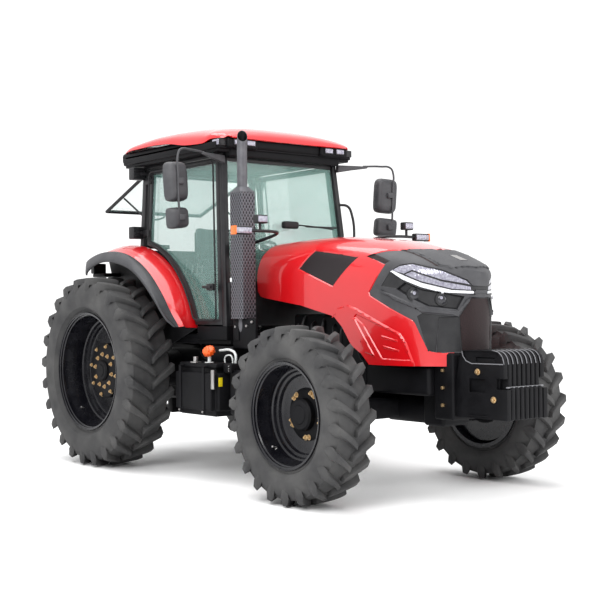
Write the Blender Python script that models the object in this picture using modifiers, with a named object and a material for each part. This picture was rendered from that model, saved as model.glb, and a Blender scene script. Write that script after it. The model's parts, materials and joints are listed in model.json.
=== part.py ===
"""Four-wheel-drive farm tractor with a glazed cab.

Metres, +X forward, +Y to the driver's left, +Z up. The pieces are modelled from the
rear axle (x = 0 there) and the whole tractor then slides back so that the origin is
on the ground under the middle of its bounding box.
"""
import math

import bmesh
import bpy
from mathutils import Matrix, Vector

# ---------------------------------------------------------------- driving dimensions
WHEELBASE = 3.00
SEGMENTS = 32                 # sides of a turned piece
GAP = 0.0004                  # between pieces that rest on each other

REAR_TYRE_R, REAR_TYRE_W = 0.892, 0.48
REAR_RIM_R, REAR_RIM_W = 0.559, 0.41
FRONT_TYRE_R, FRONT_TYRE_W = 0.6735, 0.38
FRONT_RIM_R, FRONT_RIM_W = 0.4065, 0.305
RIM_FACE_Y = 1.22             # outer flange of every rim
REAR_WHEEL_Y = RIM_FACE_Y - REAR_RIM_W / 2
FRONT_WHEEL_Y = RIM_FACE_Y - FRONT_RIM_W / 2
KINGPIN_Y = 0.80
STEER_ARM = 0.21              # from the kingpin back to the tie rod's pin

REAR_DISH, FRONT_DISH = 0.095, 0.075      # the discs lie inboard of the rims' middle

CAB_HALF_W = 0.74             # outer face of the doors at the sill
CAB_LEAN = math.radians(3.4)  # the sides lean in towards the roof
SILL_Z = 1.32
FLOOR_Z = 1.25
ROOF_Z = 2.84                 # underside of the roof
DOOR_HINGE_X = 0.225
DOOR_THICK = 0.04
FENDER_R = 1.205              # top of the fender beside the door, about the rear axle

BONNET_HINGE = (1.80, 2.02)   # x, z
LIFT_PIVOT = (-0.20, 1.22)    # x, z of the rockshaft
LINK_PIVOT = (-0.26, 0.62)    # x, z of the lower links' front pins
LIFT_ARM = 0.36               # arm and link reach the rods at the same distance
LINK_LENGTH = 0.92
LINK_DROP = math.radians(8)   # the links hang this far below level
LINK_EYE_R = 0.045
PTO_Z = 0.68
WEIGHTS_FRONT_X = 4.29
LINK_REAR_X = LINK_PIVOT[0] - LINK_LENGTH * math.cos(LINK_DROP) - LINK_EYE_R
BOX_MIDDLE_X = (WEIGHTS_FRONT_X + LINK_REAR_X) / 2

RED = (0.80, 0.02, 0.02)
BLACK = (0.02, 0.02, 0.022)
GREY = (0.10, 0.10, 0.11)
GLASS = (0.55, 0.75, 0.70)

for old in list(bpy.data.objects):
    bpy.data.objects.remove(old)

parts = bpy.data.collections.new("farm_tractor")
cutters = bpy.data.collections.new("cutters")
bpy.context.scene.collection.children.link(parts)
bpy.context.scene.collection.children.link(cutters)

root = bpy.data.objects.new("tractor", None)
parts.objects.link(root)


# ---------------------------------------------------------------- helpers
def material(name, colour, roughness, metallic=0.0):
    """A Principled material, made once."""
    made = bpy.data.materials.get(name)
    if made:
        return made
    made = bpy.data.materials.new(name)
    made.use_nodes = True
    shader = made.node_tree.nodes["Principled BSDF"]
    shader.inputs["Base Color"].default_value = (*colour, 1)
    shader.inputs["Roughness"].default_value = roughness
    shader.inputs["Metallic"].default_value = metallic
    return made


PAINT_RED = material("paint_red", RED, 0.25)
PAINT_BLACK = material("paint_black", BLACK, 0.45)
PLASTIC_GREY = material("plastic_grey", GREY, 0.6)
RUBBER = material("rubber", (0.03, 0.03, 0.03), 0.9)
WINDOW = material("window", GLASS, 0.05)
CLOTH = material("cloth", (0.05, 0.05, 0.05), 0.9)
STEEL = material("steel", (0.35, 0.34, 0.33), 0.4, 0.9)


def add(name, mesh, mat, parent=None, matrix=None):
    """Puts a mesh in the scene as one named piece."""
    obj = bpy.data.objects.new(name, mesh)
    parts.objects.link(obj)
    if matrix is not None:
        obj.matrix_world = matrix
    mesh.materials.clear()
    mesh.materials.append(mat)
    bpy.context.view_layer.update()
    holder = parent or root
    obj.parent = holder
    obj.matrix_parent_inverse = holder.matrix_world.inverted()
    return obj


def pivot(name, place, parent=None, tilt=0.0):
    """An empty on a joint's axis."""
    empty = bpy.data.objects.new(name, None)
    parts.objects.link(empty)
    empty.location = place
    empty.rotation_euler = (tilt, 0, 0)
    bpy.context.view_layer.update()
    holder = parent or root
    empty.parent = holder
    empty.matrix_parent_inverse = holder.matrix_world.inverted()
    bpy.context.view_layer.update()
    return empty


def from_bmesh(name, bm):
    mesh = bpy.data.meshes.new(name)
    bm.to_mesh(mesh)
    bm.free()
    return mesh


def box_mesh(name, low, high, bevel=0.0, sides=1):
    """A box between two corners, with its edges rounded if asked."""
    bm = bmesh.new()
    bmesh.ops.create_cube(bm, size=1)
    size = Vector(high) - Vector(low)
    middle = (Vector(high) + Vector(low)) / 2
    bmesh.ops.transform(bm, matrix=Matrix.Diagonal((*size, 1)), verts=bm.verts)
    bmesh.ops.translate(bm, vec=middle, verts=bm.verts)
    if bevel:
        bmesh.ops.bevel(bm, geom=bm.edges[:], offset=bevel, segments=sides, affect="EDGES")
    return from_bmesh(name, bm)


def rod_mesh(name, start, end, radius, end_radius=None, sides=12):
    """A round bar, or a cone, from one point to another."""
    start, end = Vector(start), Vector(end)
    along = end - start
    bm = bmesh.new()
    bmesh.ops.create_cone(
        bm, cap_ends=True, segments=sides, radius1=radius,
        radius2=radius if end_radius is None else end_radius, depth=along.length,
    )
    turn = along.to_track_quat("Z", "Y").to_matrix().to_4x4()
    place = Matrix.Translation((start + end) / 2) @ turn
    bmesh.ops.transform(bm, matrix=place, verts=bm.verts)
    return from_bmesh(name, bm)


def plate_mesh(name, outline, low_y, high_y):
    """A flat plate: an outline in X and Z, between two Y planes."""
    curve = bpy.data.curves.new(name, "CURVE")
    curve.dimensions = "2D"
    curve.fill_mode = "BOTH"
    curve.extrude = (high_y - low_y) / 2
    spline = curve.splines.new("POLY")
    spline.points.add(len(outline) - 1)
    for point, (x, z) in zip(spline.points, outline):
        point.co = (x, z, 0, 1)
    spline.use_cyclic_u = True
    return curve_mesh(name, curve, Matrix.Translation((0, (low_y + high_y) / 2, 0))
                      @ Matrix.Rotation(math.pi / 2, 4, "X"))


def curve_mesh(name, curve, place=None):
    """The curve as a welded mesh, so that it can be cut or joined."""
    guide = bpy.data.objects.new(name + "_curve", curve)
    parts.objects.link(guide)
    graph = bpy.context.evaluated_depsgraph_get()
    graph.update()
    mesh = bpy.data.meshes.new_from_object(guide.evaluated_get(graph))
    bpy.data.objects.remove(guide)
    bm = bmesh.new()
    bm.from_mesh(mesh)
    bmesh.ops.remove_doubles(bm, verts=bm.verts, dist=1e-5)
    if place is not None:
        bmesh.ops.transform(bm, matrix=place, verts=bm.verts)
    bmesh.ops.recalc_face_normals(bm, faces=bm.faces)
    return from_bmesh(name, bm)


def plate_mesh_x(name, x, thickness, outline):
    """A flat plate across the tractor: an outline in Y and Z, centred on an X plane."""
    mesh = plate_mesh(name, outline, -thickness / 2, thickness / 2)
    mesh.transform(Matrix.Translation((x, 0, 0)) @ Matrix.Rotation(math.pi / 2, 4, "Z"))
    return mesh


def tube_mesh(name, points, radius, sides=8):
    """A bent tube through points."""
    curve = bpy.data.curves.new(name, "CURVE")
    curve.dimensions = "3D"
    curve.bevel_depth = radius
    curve.bevel_resolution = (sides - 4) // 2
    curve.use_fill_caps = True
    spline = curve.splines.new("POLY")
    spline.points.add(len(points) - 1)
    for point, place in zip(spline.points, points):
        point.co = (*place, 1)
    return curve_mesh(name, curve)


def cutter(name, mesh):
    obj = bpy.data.objects.new(name, mesh)
    cutters.objects.link(obj)
    obj.hide_render = True
    obj.display_type = "WIRE"
    obj.parent = root
    return obj


def boolean(obj, mesh, operation):
    """Cuts a mesh from a piece, joins it to it, or keeps what they share."""
    tool = cutter(f"{obj.name}_{operation.lower()}_{len(obj.modifiers)}", mesh)
    modifier = obj.modifiers.new(tool.name, "BOOLEAN")
    modifier.operation = operation
    modifier.solver = "EXACT"
    modifier.object = tool
    return obj


def cut(obj, mesh):
    return boolean(obj, mesh, "DIFFERENCE")


def join(obj, *meshes):
    for mesh in meshes:
        boolean(obj, mesh, "UNION")
    return obj


def keep(obj, mesh):
    return boolean(obj, mesh, "INTERSECT")


def turned(name, profile, mat, side, y, x, z, parent, ring=True):
    """A piece turned about a wheel's axis. The profile is (radius, distance outwards) and
    runs down its outer side; a ring closes on itself, and anything else starts and ends on
    the axis. side is 1 for left and -1 for right."""
    bm = bmesh.new()
    verts = [bm.verts.new((r, 0, h)) for r, h in profile]
    for first, second in zip(verts, verts[1:]):
        bm.edges.new((first, second))
    if ring:
        bm.edges.new((verts[-1], verts[0]))
    place = Matrix.Translation((x, y, z)) @ Matrix.Rotation(-side * math.pi / 2, 4, "X")
    obj = add(name, from_bmesh(name, bm), mat, parent, place)
    screw = obj.modifiers.new("turn", "SCREW")
    screw.steps = screw.render_steps = SEGMENTS
    screw.use_merge_vertices = True
    screw.merge_threshold = 1e-5
    return obj


def loft_mesh(name, sections, closed_ends=True):
    """A surface through sections with the same number of points, each a closed loop."""
    bm = bmesh.new()
    rings = [[bm.verts.new(p) for p in section] for section in sections]
    count = len(rings[0])
    for first, second in zip(rings, rings[1:]):
        for i in range(count):
            j = (i + 1) % count
            bm.faces.new((first[i], first[j], second[j], second[i]))
    if closed_ends:
        bm.faces.new(rings[0])
        bm.faces.new(rings[-1])
    bmesh.ops.recalc_face_normals(bm, faces=bm.faces)
    return from_bmesh(name, bm)


def panel_mesh(name, corners, thickness):
    """A flat pane between four corners, thickened away from the side it shows."""
    a, b, c = (Vector(corner) for corner in corners[:3])
    back = (b - a).cross(c - b).normalized() * -thickness
    return loft_mesh(name, [corners, [Vector(corner) + back for corner in corners]])


def inset(outline, distance):
    """The outline drawn this far inside itself."""
    points = [Vector(p) for p in outline]
    area = sum(a.x * b.y - b.x * a.y for a, b in zip(points, points[1:] + points[:1]))
    turn = math.copysign(1, area)
    result = []
    for before, point, after in zip(points[-1:] + points[:-1], points, points[1:] + points[:1]):
        first = (point - before).normalized()
        second = (after - point).normalized()
        inward = Vector((-first.y - second.y, first.x + second.x)) * turn
        inward.normalize()
        edge = Vector((-first.y, first.x)) * turn
        result.append(tuple(point + inward * distance / inward.dot(edge)))
    return result


def arc(cx, cz, radius, start, end, count):
    """Points on an arc, angles in degrees."""
    step = (end - start) / (count - 1)
    turns = [math.radians(start + i * step) for i in range(count)]
    return [(cx + radius * math.cos(t), cz + radius * math.sin(t)) for t in turns]


# ---------------------------------------------------------------- wheels
def tyre_profile(radius, width, rim_radius, rim_width):
    """A carcass that is open towards the rim: outside from bead to bead, then inside."""
    half, bead = width / 2, rim_width / 2 - 0.020
    seat = rim_radius - 0.022
    side = (radius + rim_radius) / 2 - 0.02
    wall = 0.028
    outside = [(seat, bead), (side, half), (radius - 0.04, half - 0.012), (radius, half - 0.075)]
    inside = [(seat, bead - wall), (side, half - wall), (radius - 0.075, half - 0.065)]
    return (outside + [(r, -h) for r, h in reversed(outside)]
            + [(r, -h) for r, h in inside] + [(r, h) for r, h in reversed(inside)])


def rim_profile(rim_radius, rim_width, disc_h, hub_r, hub_out):
    """Barrel with flanges, one dished disc and a hub."""
    half = rim_width / 2
    seat = rim_radius - 0.0225
    bore = seat - 0.012
    disc_back = disc_h - 0.03
    return [
        (0, hub_out), (hub_r, hub_out - 0.02), (hub_r, disc_h), (bore - 0.05, disc_h),
        (bore, disc_h + 0.04), (bore, half), (rim_radius, half), (rim_radius, half - 0.01),
        (seat, half - 0.016), (seat, -half + 0.016), (rim_radius, -half + 0.01),
        (rim_radius, -half), (bore, -half), (bore, disc_back), (0, disc_back),
    ]


def wheel(end, side, parent):
    """One wheel: its tyre and its rim with the hub."""
    label = f"{end}_{'left' if side > 0 else 'right'}"
    if end == "rear":
        size = (REAR_TYRE_R, REAR_TYRE_W, REAR_RIM_R, REAR_RIM_W)
        y, x, z = side * REAR_WHEEL_Y, 0.0, REAR_TYRE_R
        dish = (-REAR_DISH, 0.14, -0.01)
    else:
        size = (FRONT_TYRE_R, FRONT_TYRE_W, FRONT_RIM_R, FRONT_RIM_W)
        y, x, z = side * FRONT_WHEEL_Y, WHEELBASE, FRONT_TYRE_R
        dish = (-FRONT_DISH, 0.125, 0.0)
    turned(f"tyre_{label}", tyre_profile(*size), RUBBER, side, y, x, z, parent)
    turned(f"rim_{label}", rim_profile(size[2], size[3], *dish), PAINT_BLACK, side, y, x, z,
           parent, ring=False)


def knuckle(side, parent):
    """A fork over the end of the axle beam, the spindle housing and the steering arm."""
    y = side * KINGPIN_Y
    z = FRONT_TYRE_R
    low, high = sorted((side * (KINGPIN_Y - 0.07), side * (KINGPIN_Y + 0.12)))
    name = f"knuckle_{'left' if side > 0 else 'right'}"
    obj = add(name, box_mesh("fork", (WHEELBASE - 0.09, low, z - 0.16),
                             (WHEELBASE + 0.09, high, z + 0.16)), PAINT_BLACK, parent)
    low, high = sorted((side * (KINGPIN_Y - 0.2), side * (KINGPIN_Y + 0.08)))
    cut(obj, box_mesh("slot", (WHEELBASE - 0.2, low, z - 0.11), (WHEELBASE + 0.2, high, z + 0.11)))
    spindle_end = side * (FRONT_WHEEL_Y - FRONT_DISH - 0.032)
    join(obj, rod_mesh("spindle", (WHEELBASE, side * (KINGPIN_Y + 0.09), z),
                       (WHEELBASE, spindle_end, z), 0.12, sides=20),
         box_mesh("arm", (WHEELBASE - STEER_ARM - 0.03, y - 0.03, z - 0.155),
                  (WHEELBASE - 0.05, y + 0.03, z - 0.12)))


for side in (1, -1):
    label = "left" if side > 0 else "right"
    rear_spin = pivot(f"rear_spin_{label}", (0, side * REAR_WHEEL_Y, REAR_TYRE_R))
    wheel("rear", side, rear_spin)
    kingpin = pivot(f"kingpin_{label}", (WHEELBASE, side * KINGPIN_Y, FRONT_TYRE_R))
    front_spin = pivot(f"front_spin_{label}", (WHEELBASE, side * FRONT_WHEEL_Y, FRONT_TYRE_R),
                       kingpin)
    wheel("front", side, front_spin)
    knuckle(side, kingpin)

tie_rod_x = WHEELBASE - STEER_ARM
tie_rod_z = FRONT_TYRE_R - 0.09
rod_pivot = pivot("tie_rod_pivot", (tie_rod_x, KINGPIN_Y, tie_rod_z))
tie_rod = add("tie_rod", rod_mesh("bar", (tie_rod_x, -KINGPIN_Y, tie_rod_z),
                                  (tie_rod_x, KINGPIN_Y, tie_rod_z), 0.018), STEEL, rod_pivot)
join(tie_rod, *[rod_mesh("eye", (tie_rod_x, s * KINGPIN_Y, tie_rod_z - 0.024),
                         (tie_rod_x, s * KINGPIN_Y, tie_rod_z + 0.024), 0.032) for s in (1, -1)])

# ---------------------------------------------------------------- driveline and axles
FRONT_AXLE_END = KINGPIN_Y - 0.085

axle = add("front_axle", box_mesh("beam", (WHEELBASE - 0.07, -FRONT_AXLE_END, FRONT_TYRE_R - 0.08),
                                  (WHEELBASE + 0.07, FRONT_AXLE_END, FRONT_TYRE_R + 0.08), 0.02),
           PAINT_BLACK)
join(axle, rod_mesh("differential", (WHEELBASE - 0.095, 0, FRONT_TYRE_R),
                    (WHEELBASE + 0.3796, 0, FRONT_TYRE_R), 0.115, sides=20))
for side in (1, -1):
    join(axle, rod_mesh("kingpin_eye", (WHEELBASE, side * KINGPIN_Y, FRONT_TYRE_R - 0.1),
                        (WHEELBASE, side * KINGPIN_Y, FRONT_TYRE_R + 0.1), 0.06, sides=16),
         box_mesh("neck", (WHEELBASE - 0.05, side * (KINGPIN_Y - 0.06) - 0.04, FRONT_TYRE_R - 0.06),
                  (WHEELBASE + 0.05, side * (KINGPIN_Y - 0.06) + 0.04, FRONT_TYRE_R + 0.06)))

SUPPORT_Z = 0.80              # underside of the front support
FRAME_TOP_Z = 1.03

support = add("front_support", box_mesh("frame", (2.90 + GAP, -0.30, SUPPORT_Z), (3.60, 0.30, FRAME_TOP_Z),
                                        0.02), PAINT_BLACK)
join(support, box_mesh("hanger", (WHEELBASE + 0.38, -0.15, 0.56), (3.60, 0.15, 0.85), 0.02))

add("engine_block", box_mesh("block", (1.95, -0.27, 0.67), (2.90, 0.27, 1.42), 0.02),
    PAINT_BLACK)

GEARBOX_TOP = 1.12
rear = add("rear_axle_housing", box_mesh("gearbox", (-0.30, -0.22, 0.58),
                                         (1.95 - GAP, 0.22, GEARBOX_TOP), 0.03), PAINT_BLACK)
REAR_HUB_BACK = REAR_WHEEL_Y - REAR_DISH - 0.03
for side in (1, -1):
    join(rear, rod_mesh("trumpet", (0, side * 0.1, REAR_TYRE_R),
                        (0, side * (REAR_HUB_BACK - 0.002), REAR_TYRE_R), 0.19, 0.13, sides=20))
# gearbox tower that carries the rockshaft
join(rear, box_mesh("rockshaft_housing", (-0.32, -0.19, 1.0), (0.14, 0.19, 1.32), 0.03))
cut(rear, rod_mesh("pto_bore", (-0.4, 0, PTO_Z), (-0.24, 0, PTO_Z), 0.05))

carrier = add("weight_carrier", box_mesh("bracket", (3.60 + GAP, -0.25, 0.63), (3.80 - GAP, 0.25, 1.13),
                                         0.012), PAINT_BLACK)
WEIGHT_OUTLINE = [
    (3.80, 0.93), (3.86, 1.155), (4.12, 1.155), (4.21, 1.11), (4.25, 0.94), (4.25, 0.90),
    (WEIGHTS_FRONT_X, 0.88), (WEIGHTS_FRONT_X, 0.66), (3.80, 0.66),
]
WEIGHT_COUNT, WEIGHT_PITCH = 9, 0.05
half_stack = WEIGHT_COUNT * WEIGHT_PITCH / 2
weights = add("front_weights", plate_mesh("core", inset(WEIGHT_OUTLINE, 0.02), -half_stack + 0.01,
                                          half_stack - 0.01), PAINT_BLACK)
for i in range(WEIGHT_COUNT):
    middle = (i - (WEIGHT_COUNT - 1) / 2) * WEIGHT_PITCH
    join(weights, plate_mesh("slab", WEIGHT_OUTLINE, middle - 0.023, middle + 0.023))

# ---------------------------------------------------------------- hitch and power take-off
LINK_Y, LINK_TOE = 0.30, 0.12       # the links spread by the toe towards their ends
ROD_Y = 0.392
LINK_SLOPE = Vector((-math.cos(LINK_DROP), 0, -math.sin(LINK_DROP)))


def across(name, x, z, low_y, high_y, radius, sides=16):
    """A pin or eye that runs across the tractor."""
    return rod_mesh(name, (x, low_y, z), (x, high_y, z), radius, sides=sides)


lift_pivot = pivot("lift_pivot", (LIFT_PIVOT[0], 0, LIFT_PIVOT[1]))
link_pivot = pivot("link_pivot", (LINK_PIVOT[0], 0, LINK_PIVOT[1]))
arm_end = Vector((LIFT_PIVOT[0], 0, LIFT_PIVOT[1])) + LINK_SLOPE * LIFT_ARM
rod_foot = Vector((LINK_PIVOT[0], 0, LINK_PIVOT[1])) + LINK_SLOPE * LIFT_ARM
rod_pivot = pivot("rod_pivot", arm_end, lift_pivot)

lift_arms = add("lift_arms", across("shaft", *LIFT_PIVOT, -0.365, 0.365, 0.045), PAINT_BLACK,
                lift_pivot)
cut(rear, across("shaft_bore", *LIFT_PIVOT, -0.3, 0.3, 0.049))
join(rear, across("link_pin", *LINK_PIVOT, -0.272, 0.272, 0.022))
for side in (1, -1):
    label = "left" if side > 0 else "right"
    arm_y = side * (LINK_Y + LINK_TOE * LIFT_ARM / LINK_LENGTH)
    shaft = Vector((LIFT_PIVOT[0], arm_y, LIFT_PIVOT[1]))
    tip = Vector((arm_end.x, arm_y, arm_end.z))
    low, high = sorted((arm_y - side * 0.015, arm_y + side * 0.015))
    join(lift_arms, across("boss", *LIFT_PIVOT, low, high, 0.065),
         rod_mesh("arm", shaft, tip, 0.0149, sides=8),
         across("tip", arm_end.x, arm_end.z, low, high, 0.032))
    eye_low, eye_high = sorted((side * (ROD_Y - 0.02), side * (ROD_Y + 0.02)))
    rod = add(f"lift_rod_{label}",
              rod_mesh("rod", (arm_end.x, side * ROD_Y, arm_end.z),
                       (rod_foot.x, side * ROD_Y, rod_foot.z), 0.019), STEEL, rod_pivot)
    join(rod, across("top_eye", arm_end.x, arm_end.z, eye_low, eye_high, 0.032),
         across("foot_eye", rod_foot.x, rod_foot.z, eye_low, eye_high, 0.032))
    front = Vector((LINK_PIVOT[0], side * LINK_Y, LINK_PIVOT[1]))
    ball = front + LINK_SLOPE * LINK_LENGTH + Vector((0, side * LINK_TOE, 0))
    link = add(f"lower_link_{label}", rod_mesh("bar", front, ball, 0.019), PAINT_BLACK, link_pivot)
    eye_low, eye_high = sorted((front.y - side * 0.022, front.y + side * 0.022))
    ball_low, ball_high = sorted((ball.y - side * 0.028, ball.y + side * 0.028))
    join(link, across("front_eye", front.x, front.z, eye_low, eye_high, 0.04),
         across("ball", ball.x, ball.z, ball_low, ball_high, LINK_EYE_R))

top_link = add("top_link", rod_mesh("tube", (-0.40, 0, 1.00), (-0.92, 0, 1.00), 0.022), STEEL)
join(top_link, across("front_eye", -0.37, 1.00, -0.025, 0.025, 0.045),
     across("rear_eye", -0.95, 1.00, -0.025, 0.025, 0.04))
drawbar = add("drawbar", box_mesh("bar", (-0.76, -0.045, 0.44), (0.2, 0.045, 0.48)), PAINT_BLACK)
join(drawbar, box_mesh("hanger", (-0.29, -0.12, 0.42), (-0.20, 0.12, 0.58 - GAP)))
pto_pivot = pivot("pto_pivot", (-0.3, 0, PTO_Z))
add("pto_shaft", rod_mesh("shaft", (-0.39, 0, PTO_Z), (-0.25, 0, PTO_Z), 0.0175), STEEL, pto_pivot)

# ---------------------------------------------------------------- cab
DOOR_EDGE_R = FENDER_R + 0.02
DOOR_OUTLINE = [(1.555, 1.333), (1.40, 2.81), (0.27, 2.81)]
DOOR_OUTLINE += arc(0, REAR_TYRE_R, DOOR_EDGE_R, 77.3, 21.1, 7)
DOOR_RAIL = 0.05


def on_side(side, outward=0.0):
    """Takes a plate drawn in X and Z, with Z from the sill, to the leaning side of the cab."""
    return (Matrix.Translation((0, side * CAB_HALF_W, SILL_Z))
            @ Matrix.Rotation(side * CAB_LEAN, 4, "X") @ Matrix.Translation((0, side * outward, 0)))


def side_plate(name, outline, side, outer, inner):
    """The plate between two depths behind the cab's outer side."""
    low, high = sorted((-side * outer, -side * inner))
    return plate_mesh(name, [(x, z - SILL_Z) for x, z in outline], low, high)


def transformed(mesh, matrix):
    mesh.transform(matrix)
    return mesh


def door(side):
    label = "left" if side > 0 else "right"
    hinge = pivot(f"door_hinge_{label}",
                  on_side(side, 0.01) @ Vector((DOOR_HINGE_X, 0, 0)), tilt=side * CAB_LEAN)
    frame = add(f"door_{label}", side_plate("panel", DOOR_OUTLINE, side, 0, DOOR_THICK),
                PLASTIC_GREY, hinge, on_side(side))
    cut(frame, transformed(side_plate("window", inset(DOOR_OUTLINE, DOOR_RAIL), side, -0.01, 0.06),
                           on_side(side)))
    for height in (0.85, 1.35):
        strap = box_mesh("strap", (DOOR_HINGE_X - 0.010, -0.010, height),
                         (0.31, 0.010, height + 0.06))
        join(frame, transformed(strap, on_side(side, 0.008)))
    glass = side_plate("pane", inset(DOOR_OUTLINE, DOOR_RAIL + GAP), side, 0.012, 0.018)
    add(f"door_glass_{label}", glass, WINDOW, hinge, on_side(side))


for side in (1, -1):
    door(side)

floor = add("cab_floor", box_mesh("floor", (0.24, -0.70 + GAP, 1.16), (1.62, 0.70 - GAP, FLOOR_Z)),
            PLASTIC_GREY)
for side in (1, -1):
    low, high = sorted((side * 0.64, side * CAB_HALF_W))
    join(floor, box_mesh("sill", (1.17, low, 1.20), (1.62, high, SILL_Z - GAP)))
join(floor, box_mesh("mounts", (0.4, -0.2, GEARBOX_TOP + GAP), (1.5, 0.2, 1.18)))


def pillar_mesh(low_x, high_x, low_z, high_z, side):
    """A pillar between two heights: x of its rear face at each, and its leaning side."""
    def section(x, z):
        outer = side * (CAB_HALF_W - (z - SILL_Z) * math.tan(CAB_LEAN))
        inner = outer - side * 0.045
        return [(x, inner, z), (x + 0.06, inner, z), (x + 0.06, outer, z), (x, outer, z)]
    return loft_mesh("pillar", [section(low_x, low_z), section(high_x, high_z)])


cab = add("cab_frame", box_mesh("firewall", (1.58, -0.70, SILL_Z), (1.62, 0.70, 1.70)), PLASTIC_GREY)
join(cab, box_mesh("rear_wall", (0.16, -0.70 + GAP, FLOOR_Z + GAP), (0.20, 0.70 - GAP, 2.04)))
for side in (1, -1):
    join(cab, pillar_mesh(1.562, 1.402, SILL_Z, ROOF_Z - GAP, side),
         pillar_mesh(0.145, 0.145, 2.0, ROOF_Z - GAP, side))
    rail_low, rail_high = sorted((side * 0.60, side * 0.6495))
    strap_low, strap_high = sorted((side * 0.4, side * 0.5))
    join(cab, box_mesh("side_rail", (0.2, rail_low, 2.816), (1.44, rail_high, ROOF_Z - GAP)),
         box_mesh("floor_strap", (0.16, strap_low, FLOOR_Z + GAP), (0.24, strap_high, 1.30)))
join(cab, box_mesh("front_rail", (1.412, -0.60, 2.775), (1.455, 0.60, ROOF_Z - GAP)),
     box_mesh("rear_rail", (0.16, -0.62, 2.775), (0.21, 0.62, ROOF_Z - GAP)))


def across_pane(low, high, half_low, half_high):
    """Corners of a pane across the cab between two (x, z) edges."""
    return [(low[0], -half_low, low[1]), (low[0], half_low, low[1]),
            (high[0], half_high, high[1]), (high[0], -half_high, high[1])]


add("windscreen", panel_mesh("pane", across_pane((1.552, 1.705), (1.444, 2.77), 0.665, 0.602), 0.006),
    WINDOW)
rear_window = add("rear_window", panel_mesh("pane", across_pane((-0.69, 2.475), (0.10, 2.775), 0.58,
                                                                0.60), 0.02), WINDOW)
join(rear_window, *[box_mesh("hinge", (0.06, s * 0.4 - 0.03, 2.755), (0.16 - GAP - 0.005, s * 0.4 + 0.03,
                                                                    2.785)) for s in (1, -1)])

add("roof_liner", box_mesh("liner", (-0.04, -0.78, ROOF_Z), (1.56, 0.78, 2.95), 0.025, 2), PLASTIC_GREY)


def roof_section(x, top, half, bottom):
    return [(x, -half, bottom), (x, -half, top - 0.07), (x, -half + 0.07, top - 0.012), (x, 0, top),
            (x, half - 0.07, top - 0.012), (x, half, top - 0.07), (x, half, bottom)]


ROOF_BOTTOM = 2.95 + GAP
add("roof_shell", loft_mesh("roof", [
    roof_section(-0.14, 3.06, 0.70, ROOF_BOTTOM), roof_section(-0.02, 3.12, 0.79, ROOF_BOTTOM),
    roof_section(0.75, 3.14, 0.80, ROOF_BOTTOM), roof_section(1.35, 3.09, 0.79, ROOF_BOTTOM),
    roof_section(1.62, 3.03, 0.70, ROOF_BOTTOM),
]), PAINT_RED)

# ---------------------------------------------------------------- inside the cab
seat = add("seat", box_mesh("cushion", (0.42, -0.26, 1.55), (0.92, 0.26, 1.68), 0.03, 2), CLOTH)
join(seat, box_mesh("pedestal", (0.48, -0.18, FLOOR_Z + GAP), (0.82, 0.18, 1.60)),
     box_mesh("back", (0.34, -0.25, 1.60), (0.46, 0.25, 2.28), 0.03, 2))
add("side_console", box_mesh("console", (0.42, -0.60, FLOOR_Z + GAP), (1.05, -0.34, 1.80), 0.03),
    PLASTIC_GREY)
dash = add("dashboard", box_mesh("column", (1.26, -0.12, FLOOR_Z + GAP), (1.44, 0.12, 1.82), 0.02),
           PLASTIC_GREY)
join(dash, box_mesh("pod", (1.22, -0.19, 1.76), (1.45, 0.19, 1.92), 0.02))

WHEEL_TILT = math.radians(30)
WHEEL_CENTRE = Vector((1.09, 0, 1.99))
column = Vector((-math.sin(WHEEL_TILT), 0, math.cos(WHEEL_TILT)))
wheel_pivot = pivot("steering_pivot", WHEEL_CENTRE)
bm = bmesh.new()
bmesh.ops.create_cone(bm, cap_ends=True, segments=12, radius1=0.05, radius2=0.04, depth=0.05)
tilt = Matrix.Translation(WHEEL_CENTRE) @ Matrix.Rotation(-WHEEL_TILT, 4, "Y")
wheel_hub = from_bmesh("hub", bm)
steering_wheel = add("steering_wheel", transformed(wheel_hub, tilt), CLOTH, wheel_pivot)
bpy.ops.mesh.primitive_torus_add(major_radius=0.19, minor_radius=0.014, major_segments=24,
                                 minor_segments=8)
rim_guide = bpy.context.object
rim_mesh = rim_guide.data
bpy.data.objects.remove(rim_guide)
join(steering_wheel, transformed(rim_mesh, tilt), transformed(
    rod_mesh("spoke", (0, -0.19, 0), (0, 0.19, 0), 0.011, sides=8), tilt), transformed(
    rod_mesh("stub", (0, 0, 0.01), (0.0, 0, -0.115), 0.018, sides=8), tilt))

# ---------------------------------------------------------------- fenders and side gear
FENDER_FRONT, FENDER_REAR = 20, 112          # degrees about the rear axle, up from the front


def fender(side):
    skin = 0.02
    profile = [
        (FENDER_R, 0.70), (FENDER_R, 0.745), (1.14, 0.93), (1.08, 1.035), (1.06, 1.027),
        (1.14 - skin, 0.922), (FENDER_R - skin, 0.738), (FENDER_R - skin, 0.715), (0.62, 0.715),
        (0.62, 0.70),
    ]
    steps = 14
    sections = []
    for i in range(steps):
        turn = math.radians(FENDER_FRONT + (FENDER_REAR - FENDER_FRONT) * i / (steps - 1))
        sections.append([(r * math.cos(turn), side * y, REAR_TYRE_R + r * math.sin(turn))
                         for r, y in profile])
    add(f"fender_{'left' if side > 0 else 'right'}", loft_mesh("fender", sections), PAINT_RED)


def mirror(side):
    """A bent arm with the main head and the wide-angle head below it."""
    arm = [(1.484, side * 0.62, 2.79), (1.60, side * 0.86, 2.805), (1.66, side * 1.25, 2.80),
           (1.62, side * 1.25, 2.12)]
    obj = add(f"mirror_{'left' if side > 0 else 'right'}", tube_mesh("arm", arm, 0.012, sides=8),
              PAINT_BLACK)
    for low_z, high_z in ((2.40, 2.70), (2.16, 2.33)):
        head = box_mesh("head", (-0.035, -0.10, low_z), (0.035, 0.10, high_z), 0.02)
        turn = Matrix.Translation((1.61, side * 1.24, 0)) @ Matrix.Rotation(side * 0.25, 4, "Z")
        join(obj, transformed(head, turn))


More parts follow.
